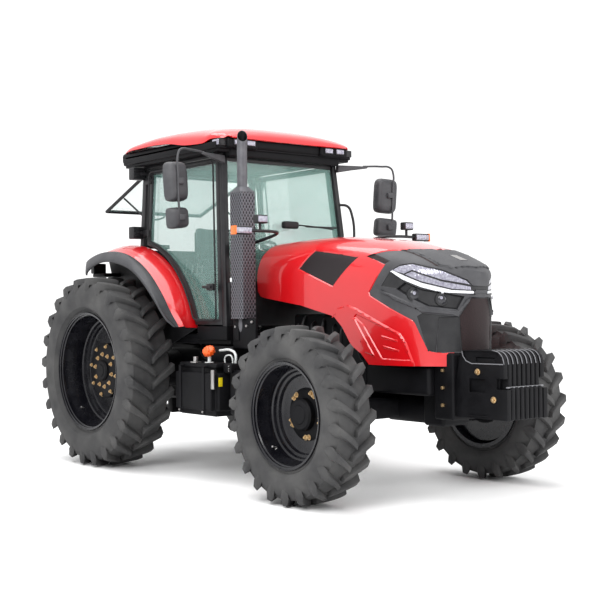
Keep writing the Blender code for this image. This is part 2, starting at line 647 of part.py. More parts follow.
for side in (1, -1):
    fender(side)
    mirror(side)

tank = add("fuel_tank", box_mesh("tank", (1.14, -0.99, 0.56), (1.78, -0.46, 0.98), 0.05, 2),
           PLASTIC_GREY)
join(tank, box_mesh("bracket", (1.25, -0.60, 0.70), (1.65, -0.22 - GAP, 0.76)))
battery = add("battery_box", box_mesh("box", (1.84, -0.88, 0.58), (2.09, -0.42, 0.96), 0.02),
              PLASTIC_GREY)
join(battery, box_mesh("bracket", (1.97, -0.5, 0.72), (2.05, -0.27 - GAP, 0.78)))

steps_frame = add("steps", box_mesh("bracket", (1.25, 0.22 + GAP, 0.98), (1.60, 0.70, 1.02)),
                  PAINT_BLACK)
for x in (1.20, 1.60):
    join(steps_frame, plate_mesh_x("stringer", x, 0.015, [
        (0.62, 1.14), (0.72, 1.14), (1.00, 0.44), (0.86, 0.44), (0.62, 1.0)]))
for y, z in ((0.93, 0.46), (0.84, 0.70), (0.76, 0.94)):
    join(steps_frame, box_mesh("tread", (1.20, y - 0.10, z), (1.61, y + 0.05, z + 0.025)))

EXHAUST_X, EXHAUST_Y = 1.80, -0.72
exhaust = add("exhaust_stack", rod_mesh("shield", (EXHAUST_X, EXHAUST_Y, 1.36),
                                        (EXHAUST_X, EXHAUST_Y, 2.40), 0.095, sides=16), STEEL)
join(exhaust, rod_mesh("cap", (EXHAUST_X, EXHAUST_Y, 2.40 - 0.001), (EXHAUST_X, EXHAUST_Y, 2.47), 0.095,
                       0.05, sides=16),
     rod_mesh("pipe", (EXHAUST_X, EXHAUST_Y, 2.3), (EXHAUST_X, EXHAUST_Y, 2.96), 0.045, sides=16),
     rod_mesh("elbow", (EXHAUST_X, EXHAUST_Y, 1.42), (2.05, -0.45, 1.35), 0.05),
     rod_mesh("outlet", (2.05, -0.47, 1.35), (2.05, -0.27 - GAP, 1.35), 0.05))
cut(exhaust, rod_mesh("bore", (EXHAUST_X, EXHAUST_Y, 2.6), (EXHAUST_X, EXHAUST_Y, 3.0), 0.041, sides=16))

# ---------------------------------------------------------------- bonnet
BONNET_W = 0.445
BONNET_SKIN = 0.012
BONNET_STATIONS = [           # x, top, half width
    (1.72, 2.055, 0.43), (2.33, 2.07, BONNET_W), (3.00, 2.015, BONNET_W), (3.40, 1.925, 0.428),
    (3.55, 1.872, 0.386), (3.68, 1.82, 0.315), (3.79, 1.778, 0.20), (3.865, 1.738, 0.078),
]
BONNET_HEM = [
    (1.60, 1.605), (1.96, 1.546), (2.45, 1.447), (2.69, 1.382), (2.80, 1.311), (2.97, 1.139),
    (3.11, 1.045), (4.10, 1.045), (4.10, 0.80), (1.60, 0.80),
]
NOSE_OUTLINE = [
    (3.42, 2.20), (3.42, 1.915), (3.10, 1.893), (3.04, 1.876), (3.25, 1.80), (3.095, 1.592),
    (3.108, 1.562), (3.52, 1.37), (3.535, 1.35), (3.62, 1.145), (4.20, 1.13), (4.20, 2.20),
]


def bonnet_section(x, top, half, bottom):
    """Half the outline from the ridge down one side, then its mirror image."""
    side = [(0.50 * half, top - 0.02), (0.80 * half, top - 0.085), (0.96 * half, top - 0.19),
            (half, top - 0.34), (half, bottom)]
    left = [(x, y, z) for y, z in side]
    right = [(x, -y, z) for y, z in reversed(side)]
    return [(x, 0, top)] + left + right


def bonnet_solid(name, skin):
    """The bonnet's outside, or with a skin thickness its hollow, open below and behind."""
    stations = [(x, top - skin, half - skin) for x, top, half in BONNET_STATIONS]
    if skin:
        stations[0] = (stations[0][0] - 0.1, *stations[0][1:])
        stations[-1] = (stations[-1][0] - skin, *stations[-1][1:])
    bottom = 0.90 - 4 * skin
    return loft_mesh(name, [bonnet_section(x, top, half, bottom) for x, top, half in stations])


bonnet_pivot = pivot("bonnet_hinge", (BONNET_HINGE[0], 0, BONNET_HINGE[1]))
bonnet = add("bonnet", bonnet_solid("outside", 0), PAINT_RED, bonnet_pivot)
cut(bonnet, bonnet_solid("hollow", BONNET_SKIN))
cut(bonnet, plate_mesh("hem", BONNET_HEM, -0.6, 0.6))
cut(bonnet, plate_mesh("nose_edge", inset(NOSE_OUTLINE, -0.0015), -0.6, 0.6))
cut(bonnet, box_mesh("front_gap", (3.40, -0.275, 0.9), (4.1, 0.275, 1.20)))

nose = add("bonnet_nose", bonnet_solid("outside", 0), PLASTIC_GREY, bonnet_pivot)
cut(nose, bonnet_solid("hollow", BONNET_SKIN))
keep(nose, plate_mesh("nose_edge", NOSE_OUTLINE, -0.6, 0.6))
cut(nose, box_mesh("grille_opening", (3.78, -0.095, 1.0), (4.0, 0.095, 1.50)))
add("grille", box_mesh("grille", (3.825, -0.095 + GAP, 1.18), (3.845, 0.095 - GAP, 1.50 - GAP)),
    PLASTIC_GREY, bonnet_pivot)

root.location.x = -BOX_MIDDLE_X
bpy.context.view_layer.update()
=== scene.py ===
import bpy, bmesh, functools, json, math, numpy
from mathutils import Matrix, Vector


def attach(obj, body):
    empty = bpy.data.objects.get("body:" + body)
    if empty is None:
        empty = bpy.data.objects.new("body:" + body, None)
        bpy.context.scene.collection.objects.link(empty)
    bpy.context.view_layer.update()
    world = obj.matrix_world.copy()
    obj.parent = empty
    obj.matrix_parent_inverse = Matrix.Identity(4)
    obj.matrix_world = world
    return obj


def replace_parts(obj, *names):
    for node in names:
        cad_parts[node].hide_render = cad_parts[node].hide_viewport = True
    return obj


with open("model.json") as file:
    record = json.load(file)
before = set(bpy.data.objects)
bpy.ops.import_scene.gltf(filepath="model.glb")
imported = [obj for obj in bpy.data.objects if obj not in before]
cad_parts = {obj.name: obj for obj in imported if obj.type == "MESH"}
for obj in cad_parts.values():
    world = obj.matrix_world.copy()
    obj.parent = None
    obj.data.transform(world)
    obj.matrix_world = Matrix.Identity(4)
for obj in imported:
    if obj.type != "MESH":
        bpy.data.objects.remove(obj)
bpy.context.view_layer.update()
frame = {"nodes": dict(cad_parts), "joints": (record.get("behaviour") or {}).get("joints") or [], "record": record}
print("frame loaded")

joints = {joint["name"]: joint for joint in frame["joints"]}
record = frame["record"]
bodyOf = {node: body for body, nodes in record["behaviour"]["bodies"].items() for node in nodes}
slotOf = {piece["node"]: piece["material_slot"] for piece in record["subparts"]}
axleX = joints["wheel_rear_left_spin"]["pos_m"][0]


def at(x, y, z):
    # a place measured from the rear axle, on the ground
    return Vector((x + axleX, y, z))


class Field:
    # one shader output that takes arithmetic
    def __init__(self, finish, socket):
        self.finish, self.socket = finish, socket

    def calc(self, operation, *values):
        return self.finish.node("ShaderNodeMath", {"operation": operation}, *values)["Value"]

    def sine(self): return self.calc("SINE", self)
    def __add__(self, other): return self.calc("ADD", self, other)
    def __radd__(self, other): return self.calc("ADD", other, self)
    def __sub__(self, other): return self.calc("SUBTRACT", self, other)
    def __rsub__(self, other): return self.calc("SUBTRACT", other, self)
    def __mul__(self, other): return self.calc("MULTIPLY", self, other)
    def __rmul__(self, other): return self.calc("MULTIPLY", other, self)
    def __gt__(self, other): return self.calc("GREATER_THAN", self, other)


class Made:
    # a node whose outputs are read by name
    def __init__(self, finish, node):
        self.finish, self.made = finish, node

    def __getitem__(self, name):
        return Field(self.finish, self.made.outputs[name])


class Finish:
    # one material around a Principled shader
    def __init__(self, name, colour, roughness, metallic=0.0, **sockets):
        self.material = bpy.data.materials.new(name)
        self.material.use_nodes = True
        self.tree = self.material.node_tree
        self.shader = self.tree.nodes["Principled BSDF"]
        self.set("Base Color", (*colour, 1))
        self.set("Roughness", roughness)
        self.set("Metallic", metallic)
        for socket, value in sockets.items():
            self.set(socket.replace("_", " "), value)

    def plug(self, socket, value):
        if isinstance(value, Field):
            self.tree.links.new(value.socket, socket)
        else:
            socket.default_value = value

    def set(self, name, value):
        self.plug(self.shader.inputs[name], value)

    def node(self, kind, settings=None, *values, **named):
        made = self.tree.nodes.new(kind)
        for key, value in (settings or {}).items():
            if key == "stops":
                ramp = made.color_ramp.elements
                while len(ramp) < len(value):
                    ramp.new(0.5)
                for stop, (place, colour) in zip(ramp, value):
                    stop.position, stop.color = place, (*colour, 1)
            else:
                setattr(made, key, value)
        for socket, value in zip(made.inputs, values):
            self.plug(socket, value)
        for name, value in named.items():
            self.plug(made.inputs[name.replace("_", " ")], value)
        return Made(self, made)

    def place(self, scale=(1, 1, 1), turn=(0, 0, 0)):
        spot = self.node("ShaderNodeTexCoord")["Object"]
        return self.node("ShaderNodeMapping", None, Vector=spot, Rotation=turn, Scale=scale)["Vector"]

    def noise(self, scale, detail=4, stretch=(1, 1, 1), roughness=0.55):
        return self.node("ShaderNodeTexNoise", None, Vector=self.place(stretch), Scale=scale,
                         Detail=detail, Roughness=roughness)["Fac"]

    def blend(self, mask, first, second):
        mix = self.node("ShaderNodeMix", {"data_type": "RGBA"}).made
        self.plug(mix.inputs["Factor"], mask)
        for name, colour in (("A", first), ("B", second)):
            socket = [entry for entry in mix.inputs if entry.type == "RGBA" and entry.name == name][0]
            self.plug(socket, (*colour, 1))
        return Field(self, [out for out in mix.outputs if out.type == "RGBA"][0])

    def ramp(self, value, stops):
        return self.node("ShaderNodeValToRGB", {"stops": stops}, value)["Color"]

    def bump(self, height, strength=0.3, distance=0.001):
        self.set("Normal", self.node("ShaderNodeBump", None, Strength=strength, Distance=distance,
                                     Height=height)["Normal"])


def patchy(name, colour, roughness, patch, shades, stops=None, gloss=None, grain=None, metallic=0.0, **sockets):
    # colour and gloss drift between two shades, with a fine grain over them
    coat = Finish(name, colour, roughness, metallic, **sockets)
    drift = coat.noise(*patch)
    if stops:
        coat.set("Base Color", coat.ramp(drift, list(zip(stops, shades))))
    else:
        coat.set("Base Color", coat.blend(drift, *shades))
    if gloss:
        coat.set("Roughness", gloss[0] + drift * gloss[1])
    if grain:                                 # the grain has its own scale and detail, or follows the drift
        *scale, strength, distance = grain
        coat.bump(coat.noise(*scale) if scale else drift, strength, distance)
    return coat.material


def greyPlastic():
    # moulded trim with a leather-like grain
    trim = Finish("dark grey moulding", (0.055, 0.055, 0.06), 0.5)
    patch = trim.noise(6.0, 4)
    cells = trim.node("ShaderNodeTexVoronoi", None, Vector=trim.place(), Scale=420.0)["Distance"]
    trim.set("Base Color", trim.ramp(patch, [(0.3, (0.042, 0.042, 0.047)), (0.8, (0.085, 0.085, 0.09))]))
    trim.set("Roughness", 0.42 + patch * 0.2)
    trim.bump(cells, 0.25, 0.0008)
    return trim.material


def tintedGlass(name, colour, cover):
    # green-tinted cab glass, cover being how much of what is behind it is hidden
    glass = Finish(name, colour, 0.03, Coat_Weight=1.0, Coat_Roughness=0.02)
    smear = glass.noise(2.2, 4)
    glass.set("Alpha", cover + smear * 0.08)
    glass.set("Roughness", 0.03 + smear * 0.03)
    return glass.material


def clearLens():
    lens = Finish("clear lamp lens", (0.62, 0.64, 0.68), 0.08, 0.35, Coat_Weight=1.0, Coat_Roughness=0.02)
    ribs = lens.node("ShaderNodeTexWave", {"bands_direction": "Y"}, Vector=lens.place(), Scale=26.0)["Fac"]
    facets = lens.node("ShaderNodeTexVoronoi", None, Vector=lens.place(), Scale=55.0)["Distance"]
    lens.set("Base Color", lens.blend(facets, (0.42, 0.42, 0.48), (0.20, 0.19, 0.25)))
    lens.bump(ribs + facets, 0.5, 0.003)
    return lens.material


def colouredLens(name, colour):
    lens = Finish(name, colour, 0.12, Coat_Weight=1.0, Coat_Roughness=0.03)
    prisms = lens.node("ShaderNodeTexVoronoi", None, Vector=lens.place(), Scale=120.0)["Distance"]
    lens.set("Base Color", lens.blend(prisms, colour, tuple(channel * 0.45 for channel in colour)))
    lens.bump(prisms, 0.4, 0.0015)
    return lens.material


def perforated(name, colour, hole_shade, pitch, flatten, roughness=0.45):
    # punched sheet: holes in a diamond lattice, pitch in metres; the holes are painted near-black as the shade behind
    # the sheet
    sheet = Finish(name, colour, roughness)
    diagonal = (0.785, 0.785, 0.785)
    lattice = sheet.node("ShaderNodeTexVoronoi", {"feature": "F1"}, Vector=sheet.place(flatten, diagonal),
                         Scale=1 / pitch, Randomness=0.0)["Distance"]
    solid = lattice > 0.33
    sheet.set("Base Color", sheet.blend(solid, hole_shade, colour))
    sheet.bump(solid, 0.6, 0.002)
    return sheet.material


def punchedGuard():
    # diamond-punched sheet round the silencer; its holes are painted dark as the shade behind the sheet
    sheet = Finish("diamond punched guard", (0.10, 0.10, 0.11), 0.45, 0.5)
    spot = sheet.node("ShaderNodeSeparateXYZ", None, sheet.node("ShaderNodeTexCoord")["Object"])
    across, up = (spot["X"] + spot["Y"]) * 196.0, spot["Z"] * 126.0
    wave = across.sine() * up.sine()
    hole_shade = wave > 0.22
    sheet.set("Base Color", sheet.blend(hole_shade, (0.135, 0.135, 0.15), (0.035, 0.035, 0.04)))
    sheet.set("Roughness", 0.4 + hole_shade * 0.3)
    sheet.bump(1 - wave, 0.8, 0.003)
    return sheet.material


def seatCloth():
    cloth = Finish("woven seat cloth", (0.05, 0.05, 0.055), 0.92, Sheen_Weight=0.3)
    warp, weft = (cloth.node("ShaderNodeTexWave", {"bands_direction": way}, Vector=cloth.place(), Scale=160.0)["Fac"]
                  for way in "YZ")
    cloth.set("Base Color", cloth.blend(warp * weft, (0.035, 0.035, 0.04), (0.10, 0.10, 0.11)))
    cloth.bump(warp * weft, 0.5, 0.0012)
    return cloth.material


def mirrorGlass():
    glass = Finish("mirror glass", (0.85, 0.87, 0.88), 0.03, 1.0)
    glass.set("Roughness", 0.02 + glass.noise(3.0, 3) * 0.04)
    return glass.material


def tinted(name, colour, roughness=0.45):
    # a small moulded piece in one colour
    return patchy(name, colour, roughness, (70, 4), (colour, tuple(channel * 0.72 for channel in colour)),
                  grain=(0.12, 0.0006), Coat_Weight=0.3)


finishes = {
    "red": patchy("glossy red paint", (0.60, 0.008, 0.014), 0.32, (3.0, 5),
                  ((0.62, 0.008, 0.014), (0.52, 0.006, 0.011)), gloss=(0.27, 0.12), grain=(260, 2, 0.06, 0.0006),
                  Coat_Weight=1.0, Coat_Roughness=0.04),
    "rim": patchy("gloss black wheel paint", (0.009, 0.009, 0.013), 0.28, (7.0, 6),
                  ((0.006, 0.006, 0.009), (0.020, 0.020, 0.024)), (0.35, 0.8), (0.16, 0.22), (320, 2, 0.08, 0.0006),
                  Coat_Weight=0.35, Coat_Roughness=0.12, Specular_IOR_Level=0.35),
    "cast": patchy("black painted casting", (0.008, 0.008, 0.009), 0.5, (5.0, 4),
                   ((0.004, 0.004, 0.005), (0.012, 0.012, 0.014)), (0.3, 0.8), (0.38, 0.3), (140, 5, 0.35, 0.0012),
                   Specular_IOR_Level=0.2),
    "tyre": patchy("tyre rubber", (0.045, 0.045, 0.047), 0.78, (4.5, 6),
                   ((0.034, 0.034, 0.036), (0.088, 0.087, 0.086)), (0.3, 0.75), (0.62, 0.3), (210, 3, 0.3, 0.0012)),
    "black": patchy("black moulding", (0.016, 0.016, 0.018), 0.42, (9.0, 4),
                    ((0.011, 0.011, 0.013), (0.032, 0.032, 0.034)), (0.3, 0.85), (0.34, 0.24), (380, 2, 0.18, 0.0007)),
    "stack": patchy("heatproof grey", (0.10, 0.10, 0.11), 0.5, (14.0, 5), ((0.085, 0.085, 0.095), (0.15, 0.15, 0.16)),
                    (0.3, 0.8), (0.36, 0.25), (300, 3, 0.15, 0.0006), 0.3),
    "strip": patchy("white light strip", (0.86, 0.87, 0.90), 0.22, (60, 3), ((0.92, 0.93, 0.95), (0.72, 0.74, 0.78)),
                    metallic=0.25, Coat_Weight=1.0, Coat_Roughness=0.05),
    "bolt": patchy("yellow zinc plating", (0.62, 0.44, 0.22), 0.34, (90, 4), ((0.80, 0.62, 0.38), (0.42, 0.27, 0.13)),
                   gloss=(0.25, 0.3), metallic=0.9),
    "steel": patchy("worn steel", (0.42, 0.41, 0.40), 0.38, (45, 5, (1, 1, 0.2)),
                    ((0.52, 0.51, 0.50), (0.26, 0.25, 0.25)), gloss=(0.28, 0.25), metallic=0.95),
    "seal": patchy("black rubber seal", (0.012, 0.012, 0.013), 0.7, (180, 3),
                   ((0.009, 0.009, 0.010), (0.028, 0.028, 0.03)), grain=(0.2, 0.0008)),
    "grey": greyPlastic(), "glass": tintedGlass("green tinted door glass", (0.20, 0.34, 0.31), 0.34),
    "frontGlass": tintedGlass("green tinted windscreen", (0.42, 0.74, 0.66), 0.15), "lens": clearLens(),
    "smoke": tinted("smoked lamp glass", (0.035, 0.035, 0.042), 0.06),
    # painted highlight: a light grey standing in for the bright arcs and ledge edge on the front weights
    "worn": tinted("painted highlight on casting edges", (0.20, 0.20, 0.215), 0.4),
    "amber": colouredLens("amber lens", (0.90, 0.20, 0.02)), "tail": colouredLens("red lens", (0.65, 0.01, 0.01)),
    "cloth": seatCloth(), "mirror": mirrorGlass(), "guard": punchedGuard(),
    "sideMesh": perforated("bonnet side mesh", (0.020, 0.014, 0.016), (0.003, 0.002, 0.002), 0.011, (1, 0, 1)),
    "noseMesh": perforated("nose mesh", (0.017, 0.005, 0.006), (0.002, 0.001, 0.001), 0.012, (0, 1, 1), 0.6),
    "yellow": tinted("yellow label", (0.85, 0.68, 0.02)), "orange": tinted("orange cap", (0.85, 0.13, 0.01)),
    "white": tinted("white hose", (0.72, 0.74, 0.74)),
}
print("finishes made")


def deselect():
    bpy.ops.object.select_all(action="DESELECT")


def choose(*pieces):
    deselect()
    for piece in pieces:
        piece.select_set(True)
    bpy.context.view_layer.objects.active = pieces[0]


def settle(piece):
    # the place goes into the mesh, and the object stays at the origin
    choose(piece)
    bpy.ops.object.transform_apply(location=True, rotation=True, scale=True)
    return piece


def applied(piece, kind, **settings):
    choose(piece)
    modifier = piece.modifiers.new(kind.lower(), kind)
    for key, value in settings.items():
        setattr(modifier, key, value)
    bpy.ops.object.modifier_apply(modifier=modifier.name)
    return piece


def rounded(piece, width, segments=2, angle=30):
    return applied(piece, "BEVEL", width=width, segments=segments, limit_method="ANGLE",
                   angle_limit=math.radians(angle), use_clamp_overlap=True)


def smooth(piece, angle=35):
    choose(piece)
    bpy.ops.object.shade_smooth_by_angle(angle=math.radians(angle))
    return piece


def finished(piece, name, finish, body, slot=None, angle=35):
    piece.name = name
    settle(piece)
    smooth(piece, angle)
    piece.data.materials.clear()
    piece.data.materials.append(finishes[finish])
    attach(piece, body)
    return piece


def merged(pieces):
    choose(*pieces)
    if len(pieces) > 1:
        bpy.ops.object.join()
    return bpy.context.view_layer.objects.active


def block(low, high, bevel=0.006, segments=2):
    low, high = Vector(low), Vector(high)
    deselect()
    bpy.ops.mesh.primitive_cube_add(size=1, location=(low + high) / 2)
    piece = bpy.context.object
    piece.dimensions = high - low
    settle(piece)
    return rounded(piece, bevel, segments) if bevel else piece


def bar(start, end, radius, sides=16, bevel=0.0):
    start, end = Vector(start), Vector(end)
    deselect()
    bpy.ops.mesh.primitive_cone_add(vertices=sides, radius1=radius, radius2=radius, depth=(end - start).length)
    piece = bpy.context.object
    piece.matrix_world = (Matrix.Translation((start + end) / 2)
                          @ (end - start).to_track_quat("Z", "Y").to_matrix().to_4x4())
    settle(piece)
    return rounded(piece, bevel, 2, 50) if bevel else piece


def pipe(points, radius, sides=12, smoothing=0):
    # a bent tube through points, with rounded bends if smoothing is given
    curve = bpy.data.curves.new("route", "CURVE")
    curve.dimensions = "3D"
    curve.bevel_depth = radius
    curve.bevel_resolution = (sides - 4) // 2
    curve.use_fill_caps = True
    spline = curve.splines.new("BEZIER" if smoothing else "POLY")
    if (points[0] - points[-1]).length < 1e-6:
        points, spline.use_cyclic_u = points[:-1], True
    if smoothing:
        spline.bezier_points.add(len(points) - 1)
        for point, place in zip(spline.bezier_points, points):
            point.co = place
            point.handle_left_type = point.handle_right_type = "AUTO"
        spline.resolution_u = smoothing
    else:
        spline.points.add(len(points) - 1)
        for point, place in zip(spline.points, points):
            point.co = (*place, 1)
    piece = bpy.data.objects.new("route", curve)
    bpy.context.collection.objects.link(piece)
    choose(piece)
    bpy.ops.object.convert(target="MESH")
    bpy.ops.object.mode_set(mode="EDIT")
    bpy.ops.mesh.select_all(action="SELECT")
    bpy.ops.mesh.remove_doubles(threshold=1e-5)
    bpy.ops.mesh.normals_make_consistent(inside=False)
    bpy.ops.object.mode_set(mode="OBJECT")
    return bpy.context.object


def loopOf(points, closed=True):
    # a chain of vertices through points, from a circle of as many corners
    deselect()
    bpy.ops.mesh.primitive_circle_add(vertices=len(points), radius=1)
    ring = bpy.context.object
    for vertex, place in zip(ring.data.vertices, points):
        vertex.co = place
    if not closed:
        last = [edge for edge in ring.data.edges if set(edge.vertices) == {0, len(points) - 1}][0]
        bpy.ops.object.mode_set(mode="EDIT")
        mesh = bmesh.from_edit_mesh(ring.data)
        mesh.edges.ensure_lookup_table()
        mesh.edges.remove(mesh.edges[last.index])
        bmesh.update_edit_mesh(ring.data)
        bpy.ops.object.mode_set(mode="OBJECT")
    return ring


def cleaned(piece):
    choose(piece)
    bpy.ops.object.mode_set(mode="EDIT")
    bpy.ops.mesh.select_all(action="SELECT")
    bpy.ops.mesh.remove_doubles(threshold=1e-5)
    bpy.ops.mesh.normals_make_consistent(inside=False)
    bpy.ops.object.mode_set(mode="OBJECT")
    return piece


def spun(profile, centre, steps=96, closed=True):
    # a profile of (radius, y) turned about an axis along Y
    piece = loopOf([(r, y, 0) for r, y in profile], closed)
    choose(piece)
    bpy.ops.object.mode_set(mode="EDIT")
    bpy.ops.mesh.select_all(action="SELECT")
    bpy.ops.mesh.spin(steps=steps, angle=2 * math.pi, center=(0, 0, 0), axis=(0, 1, 0))
    bpy.ops.object.mode_set(mode="OBJECT")
    cleaned(piece)
    piece.data.transform(Matrix.Translation(centre))
    return piece


def loft(sections, capped=True):
    # a skin through sections of the same number of points
    mesh = bpy.data.meshes.new("skin")
    shape = bmesh.new()
    rings = [[shape.verts.new(place) for place in section] for section in sections]
    count = len(rings[0])
    for first, second in zip(rings, rings[1:]):
        for i in range(count):
            j = (i + 1) % count
            shape.faces.new((first[i], first[j], second[j], second[i]))
    if capped:
        shape.faces.new(rings[0])
        shape.faces.new(rings[-1])
    bmesh.ops.recalc_face_normals(shape, faces=shape.faces)
    shape.to_mesh(mesh)
    shape.free()
    piece = bpy.data.objects.new("skin", mesh)
    bpy.context.collection.objects.link(piece)
    return piece


def slab(outline, lowY, highY, bevel=0.0, segments=2):
    # an outline in X and Z between two Y planes
    piece = loft([[(x, y, z) for x, z in outline] for y in (lowY, highY)])
    return rounded(piece, bevel, segments) if bevel else piece


def copied(piece, matrix):
    twin = piece.copy()
    twin.data = piece.data.copy()
    twin.data.transform(matrix)
    bpy.context.collection.objects.link(twin)
    return twin


def around(piece, count, start=0.0):
    # copies turned about the Y axis
    made = [copied(piece, Matrix.Rotation(start + 2 * math.pi * i / count, 4, "Y")) for i in range(count)]
    bpy.data.objects.remove(piece)
    return merged(made)


def softened(node, width, finish, segments=2, angle=30):
    # the CAD node's own shape with its edges rounded
    source = frame["nodes"][node]
    piece = source.copy()
    piece.data = source.data.copy()
    piece.parent = None
    piece.matrix_world = Matrix.Identity(4)
    bpy.context.collection.objects.link(piece)
    cleaned(piece)
    choose(piece)
    bpy.ops.object.mode_set(mode="EDIT")
    bpy.ops.mesh.select_all(action="SELECT")
    bpy.ops.mesh.dissolve_limited(angle_limit=math.radians(1))
    bpy.ops.object.mode_set(mode="OBJECT")
    rounded(piece, width, segments, angle)
    finished(piece, node + "_finished", finish, bodyOf[node], slotOf[node])
    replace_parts(piece, node)
    return piece


def keepNode(node, finish):
    source = frame["nodes"][node]
    source.data.materials.clear()
    source.data.materials.append(finishes[finish])


def swapped(piece):
    # the same piece on the other side
    piece.data.transform(Matrix.Scale(-1, 4, (0, 1, 0)))
    piece.data.flip_normals()
    return piece


def placed(rows, side=1):
    # blocks by two corners, bars by two ends and pipes by their route, then their sizes
    made = []
    for kind, first, *rest in rows:
        if kind == "pipe":                    # radius, corners and smoothing
            made.append(pipe([at(x, side * y, z) for x, y, z in first], *rest))
            continue
        (x0, y0, z0), (x1, y1, z1) = first, rest[0]
        if kind == "block":                   # bevel and its segments
            low, high = sorted((side * y0, side * y1))
            made.append(block(at(x0, low, z0), at(x1, high, z1), *rest[1:]))
        else:                                 # radius, corners and bevel
            radius, corners, *bevel = rest[1:]
            made.append(bar(at(x0, side * y0, z0), at(x1, side * y1, z1), radius, corners, *bevel))
    return made


def fitted(pieces):
    # each piece has a finish, a slot, the parts it has once and those it has on both sides
    for name, (finish, slot, once, twice) in pieces.items():
        parts = placed(once) + placed(twice) + placed(twice, -1)
        finished(merged(parts), name, finish, "chassis", slot)


wheelKinds = {
    "rear": {"tyreR": 0.892, "tyreW": 0.48, "rimR": 0.559, "rimW": 0.41, "lugs": 24, "lugH": 0.043,
             "lugW": 0.050, "sweep": 0.40, "dish": 0.095, "flange": 0.0, "plate": 0.262, "hubR": 0.10,
             "boltR": 0.155, "bolts": 10, "lugBoltR": 0.232, "lugBolts": 8},
    "front": {"tyreR": 0.6735, "tyreW": 0.38, "rimR": 0.4065, "rimW": 0.305, "lugs": 22, "lugH": 0.038,
              "lugW": 0.042, "sweep": 0.40, "dish": 0.075, "flange": -0.075, "plate": 0.20, "hubR": 0.125,
              "boltR": 0.175, "bolts": 10, "lugBoltR": 0.0, "lugBolts": 0},
}


def treadRadius(kind, offset):
    # radius of the carcass under the lugs at this distance from the tyre's middle
    half = kind["tyreW"] / 2
    base = kind["tyreR"] - kind["lugH"]
    return base - 0.020 * (abs(offset) / half) ** 2.2


def lugAt(kind, side):
    # one bar from just past the middle out over the shoulder, its middle leading as the wheel rolls
    half = kind["tyreW"] / 2
    sections = []
    steps = 7
    for i in range(steps):
        share = i / (steps - 1)
        offset = (-0.05 + share * 1.03) * (half - 0.012)
        lead = kind["sweep"] * (share ** 0.85) * half / kind["tyreR"] * 1.75
        bottom = treadRadius(kind, offset) - 0.012
        top = kind["tyreR"] - 0.010 * share ** 3
        width = kind["lugW"] * (1.0 + 0.25 * share)
        foot = (width * 0.5 + 0.010 + 0.018 * share) / kind["tyreR"]
        crown = width * 0.5 / kind["tyreR"]
        sections.append([(lead - foot, bottom, offset), (lead - crown, top, offset),
                         (lead + crown, top, offset), (lead + foot, bottom, offset)])
    lead = sections[-1][0][0] + foot
    shoulder = half + 0.002
    for drop, slim in ((0.075, 0.85), (0.125, 0.5)):
        radius = kind["tyreR"] - drop
        wide, narrow, low = foot * slim, crown * slim, radius - 0.03
        sections.append([(lead - wide, low, shoulder - 0.020), (lead - narrow, radius, shoulder - 0.004),
                         (lead + narrow, radius, shoulder - 0.004), (lead + wide, low, shoulder - 0.020)])
    placed = [[(math.cos(turn) * r, side * y, math.sin(turn) * r) for turn, r, y in section]
              for section in sections]
    return rounded(loft(placed), 0.004, 2, 40)


def tyrePiece(kind, centre):
    half, base = kind["tyreW"] / 2, kind["tyreR"] - kind["lugH"]
    bead, seat = kind["rimW"] / 2 - 0.018, kind["rimR"] - 0.018
    wallTop = base - 0.055
    profile = [
        (seat, bead - 0.02), (seat + 0.005, bead), (kind["rimR"] + 0.012, bead + 0.006),
        (kind["rimR"] + 0.020, bead + 0.002), (kind["rimR"] + 0.050, half - 0.012),
        ((kind["rimR"] + wallTop) / 2, half - 0.001), (wallTop - 0.030, half - 0.008),
        (wallTop, half - 0.020), (base - 0.024, half - 0.042),
    ]
    crown = [(treadRadius(kind, half * share), half * share) for share in (0.78, 0.6, 0.4, 0.2, 0.0)]
    outer = profile + crown
    profile = outer + [(r, -y) for r, y in reversed(outer[:-1])]
    inner = [(seat, -bead + 0.035), (base - 0.10, -half + 0.05), (base - 0.05, 0),
             (base - 0.10, half - 0.05), (seat, bead - 0.035)]
    carcass = spun(profile + inner, (0, 0, 0), 120)
    lugs = []
    for edge in (1, -1):
        lug = lugAt(kind, edge)
        start = math.pi / kind["lugs"] if edge > 0 else 0
        lugs.append(around(lug, kind["lugs"], start))
    piece = merged([carcass, *lugs])
    piece.data.transform(Matrix.Translation(centre))
    return piece


def rimPiece(kind, side):
    # barrel with a double flange, a drop, and a welded disc with a bright step round it
    half, top = kind["rimW"] / 2, kind["rimR"]
    seat, disc = top - 0.022, -kind["dish"]
    well = seat - 0.030
    profile = [
        (kind["hubR"] * 0.9, disc), (well - 0.085, disc), (well - 0.060, disc + 0.012),
        (well - 0.050, disc + 0.034), (well - 0.030, disc + 0.040), (well - 0.022, disc + 0.062),
        (well - 0.008, disc + 0.070), (well - 0.004, half - 0.12), (seat - 0.014, half - 0.085),
        (seat - 0.013, half - 0.034), (seat - 0.004, half - 0.026), (seat - 0.003, half - 0.012),
        (top - 0.010, half - 0.008), (top - 0.009, half - 0.001), (top - 0.003, half),
        (top, half - 0.004), (top, half - 0.012), (seat, half - 0.022), (seat, half - 0.08),
        (well + 0.008, half - 0.11), (well + 0.008, -half + 0.11), (seat, -half + 0.08),
        (seat, -half + 0.022), (top, -half + 0.012), (top, -half), (seat - 0.012, -half),
        (seat - 0.012, -half + 0.08), (well - 0.004, -half + 0.10), (well - 0.004, disc - 0.016),
        (kind["hubR"] * 0.9, disc - 0.016),
    ]
    return spun([(r, side * y) for r, y in profile], (0, 0, 0), 120)


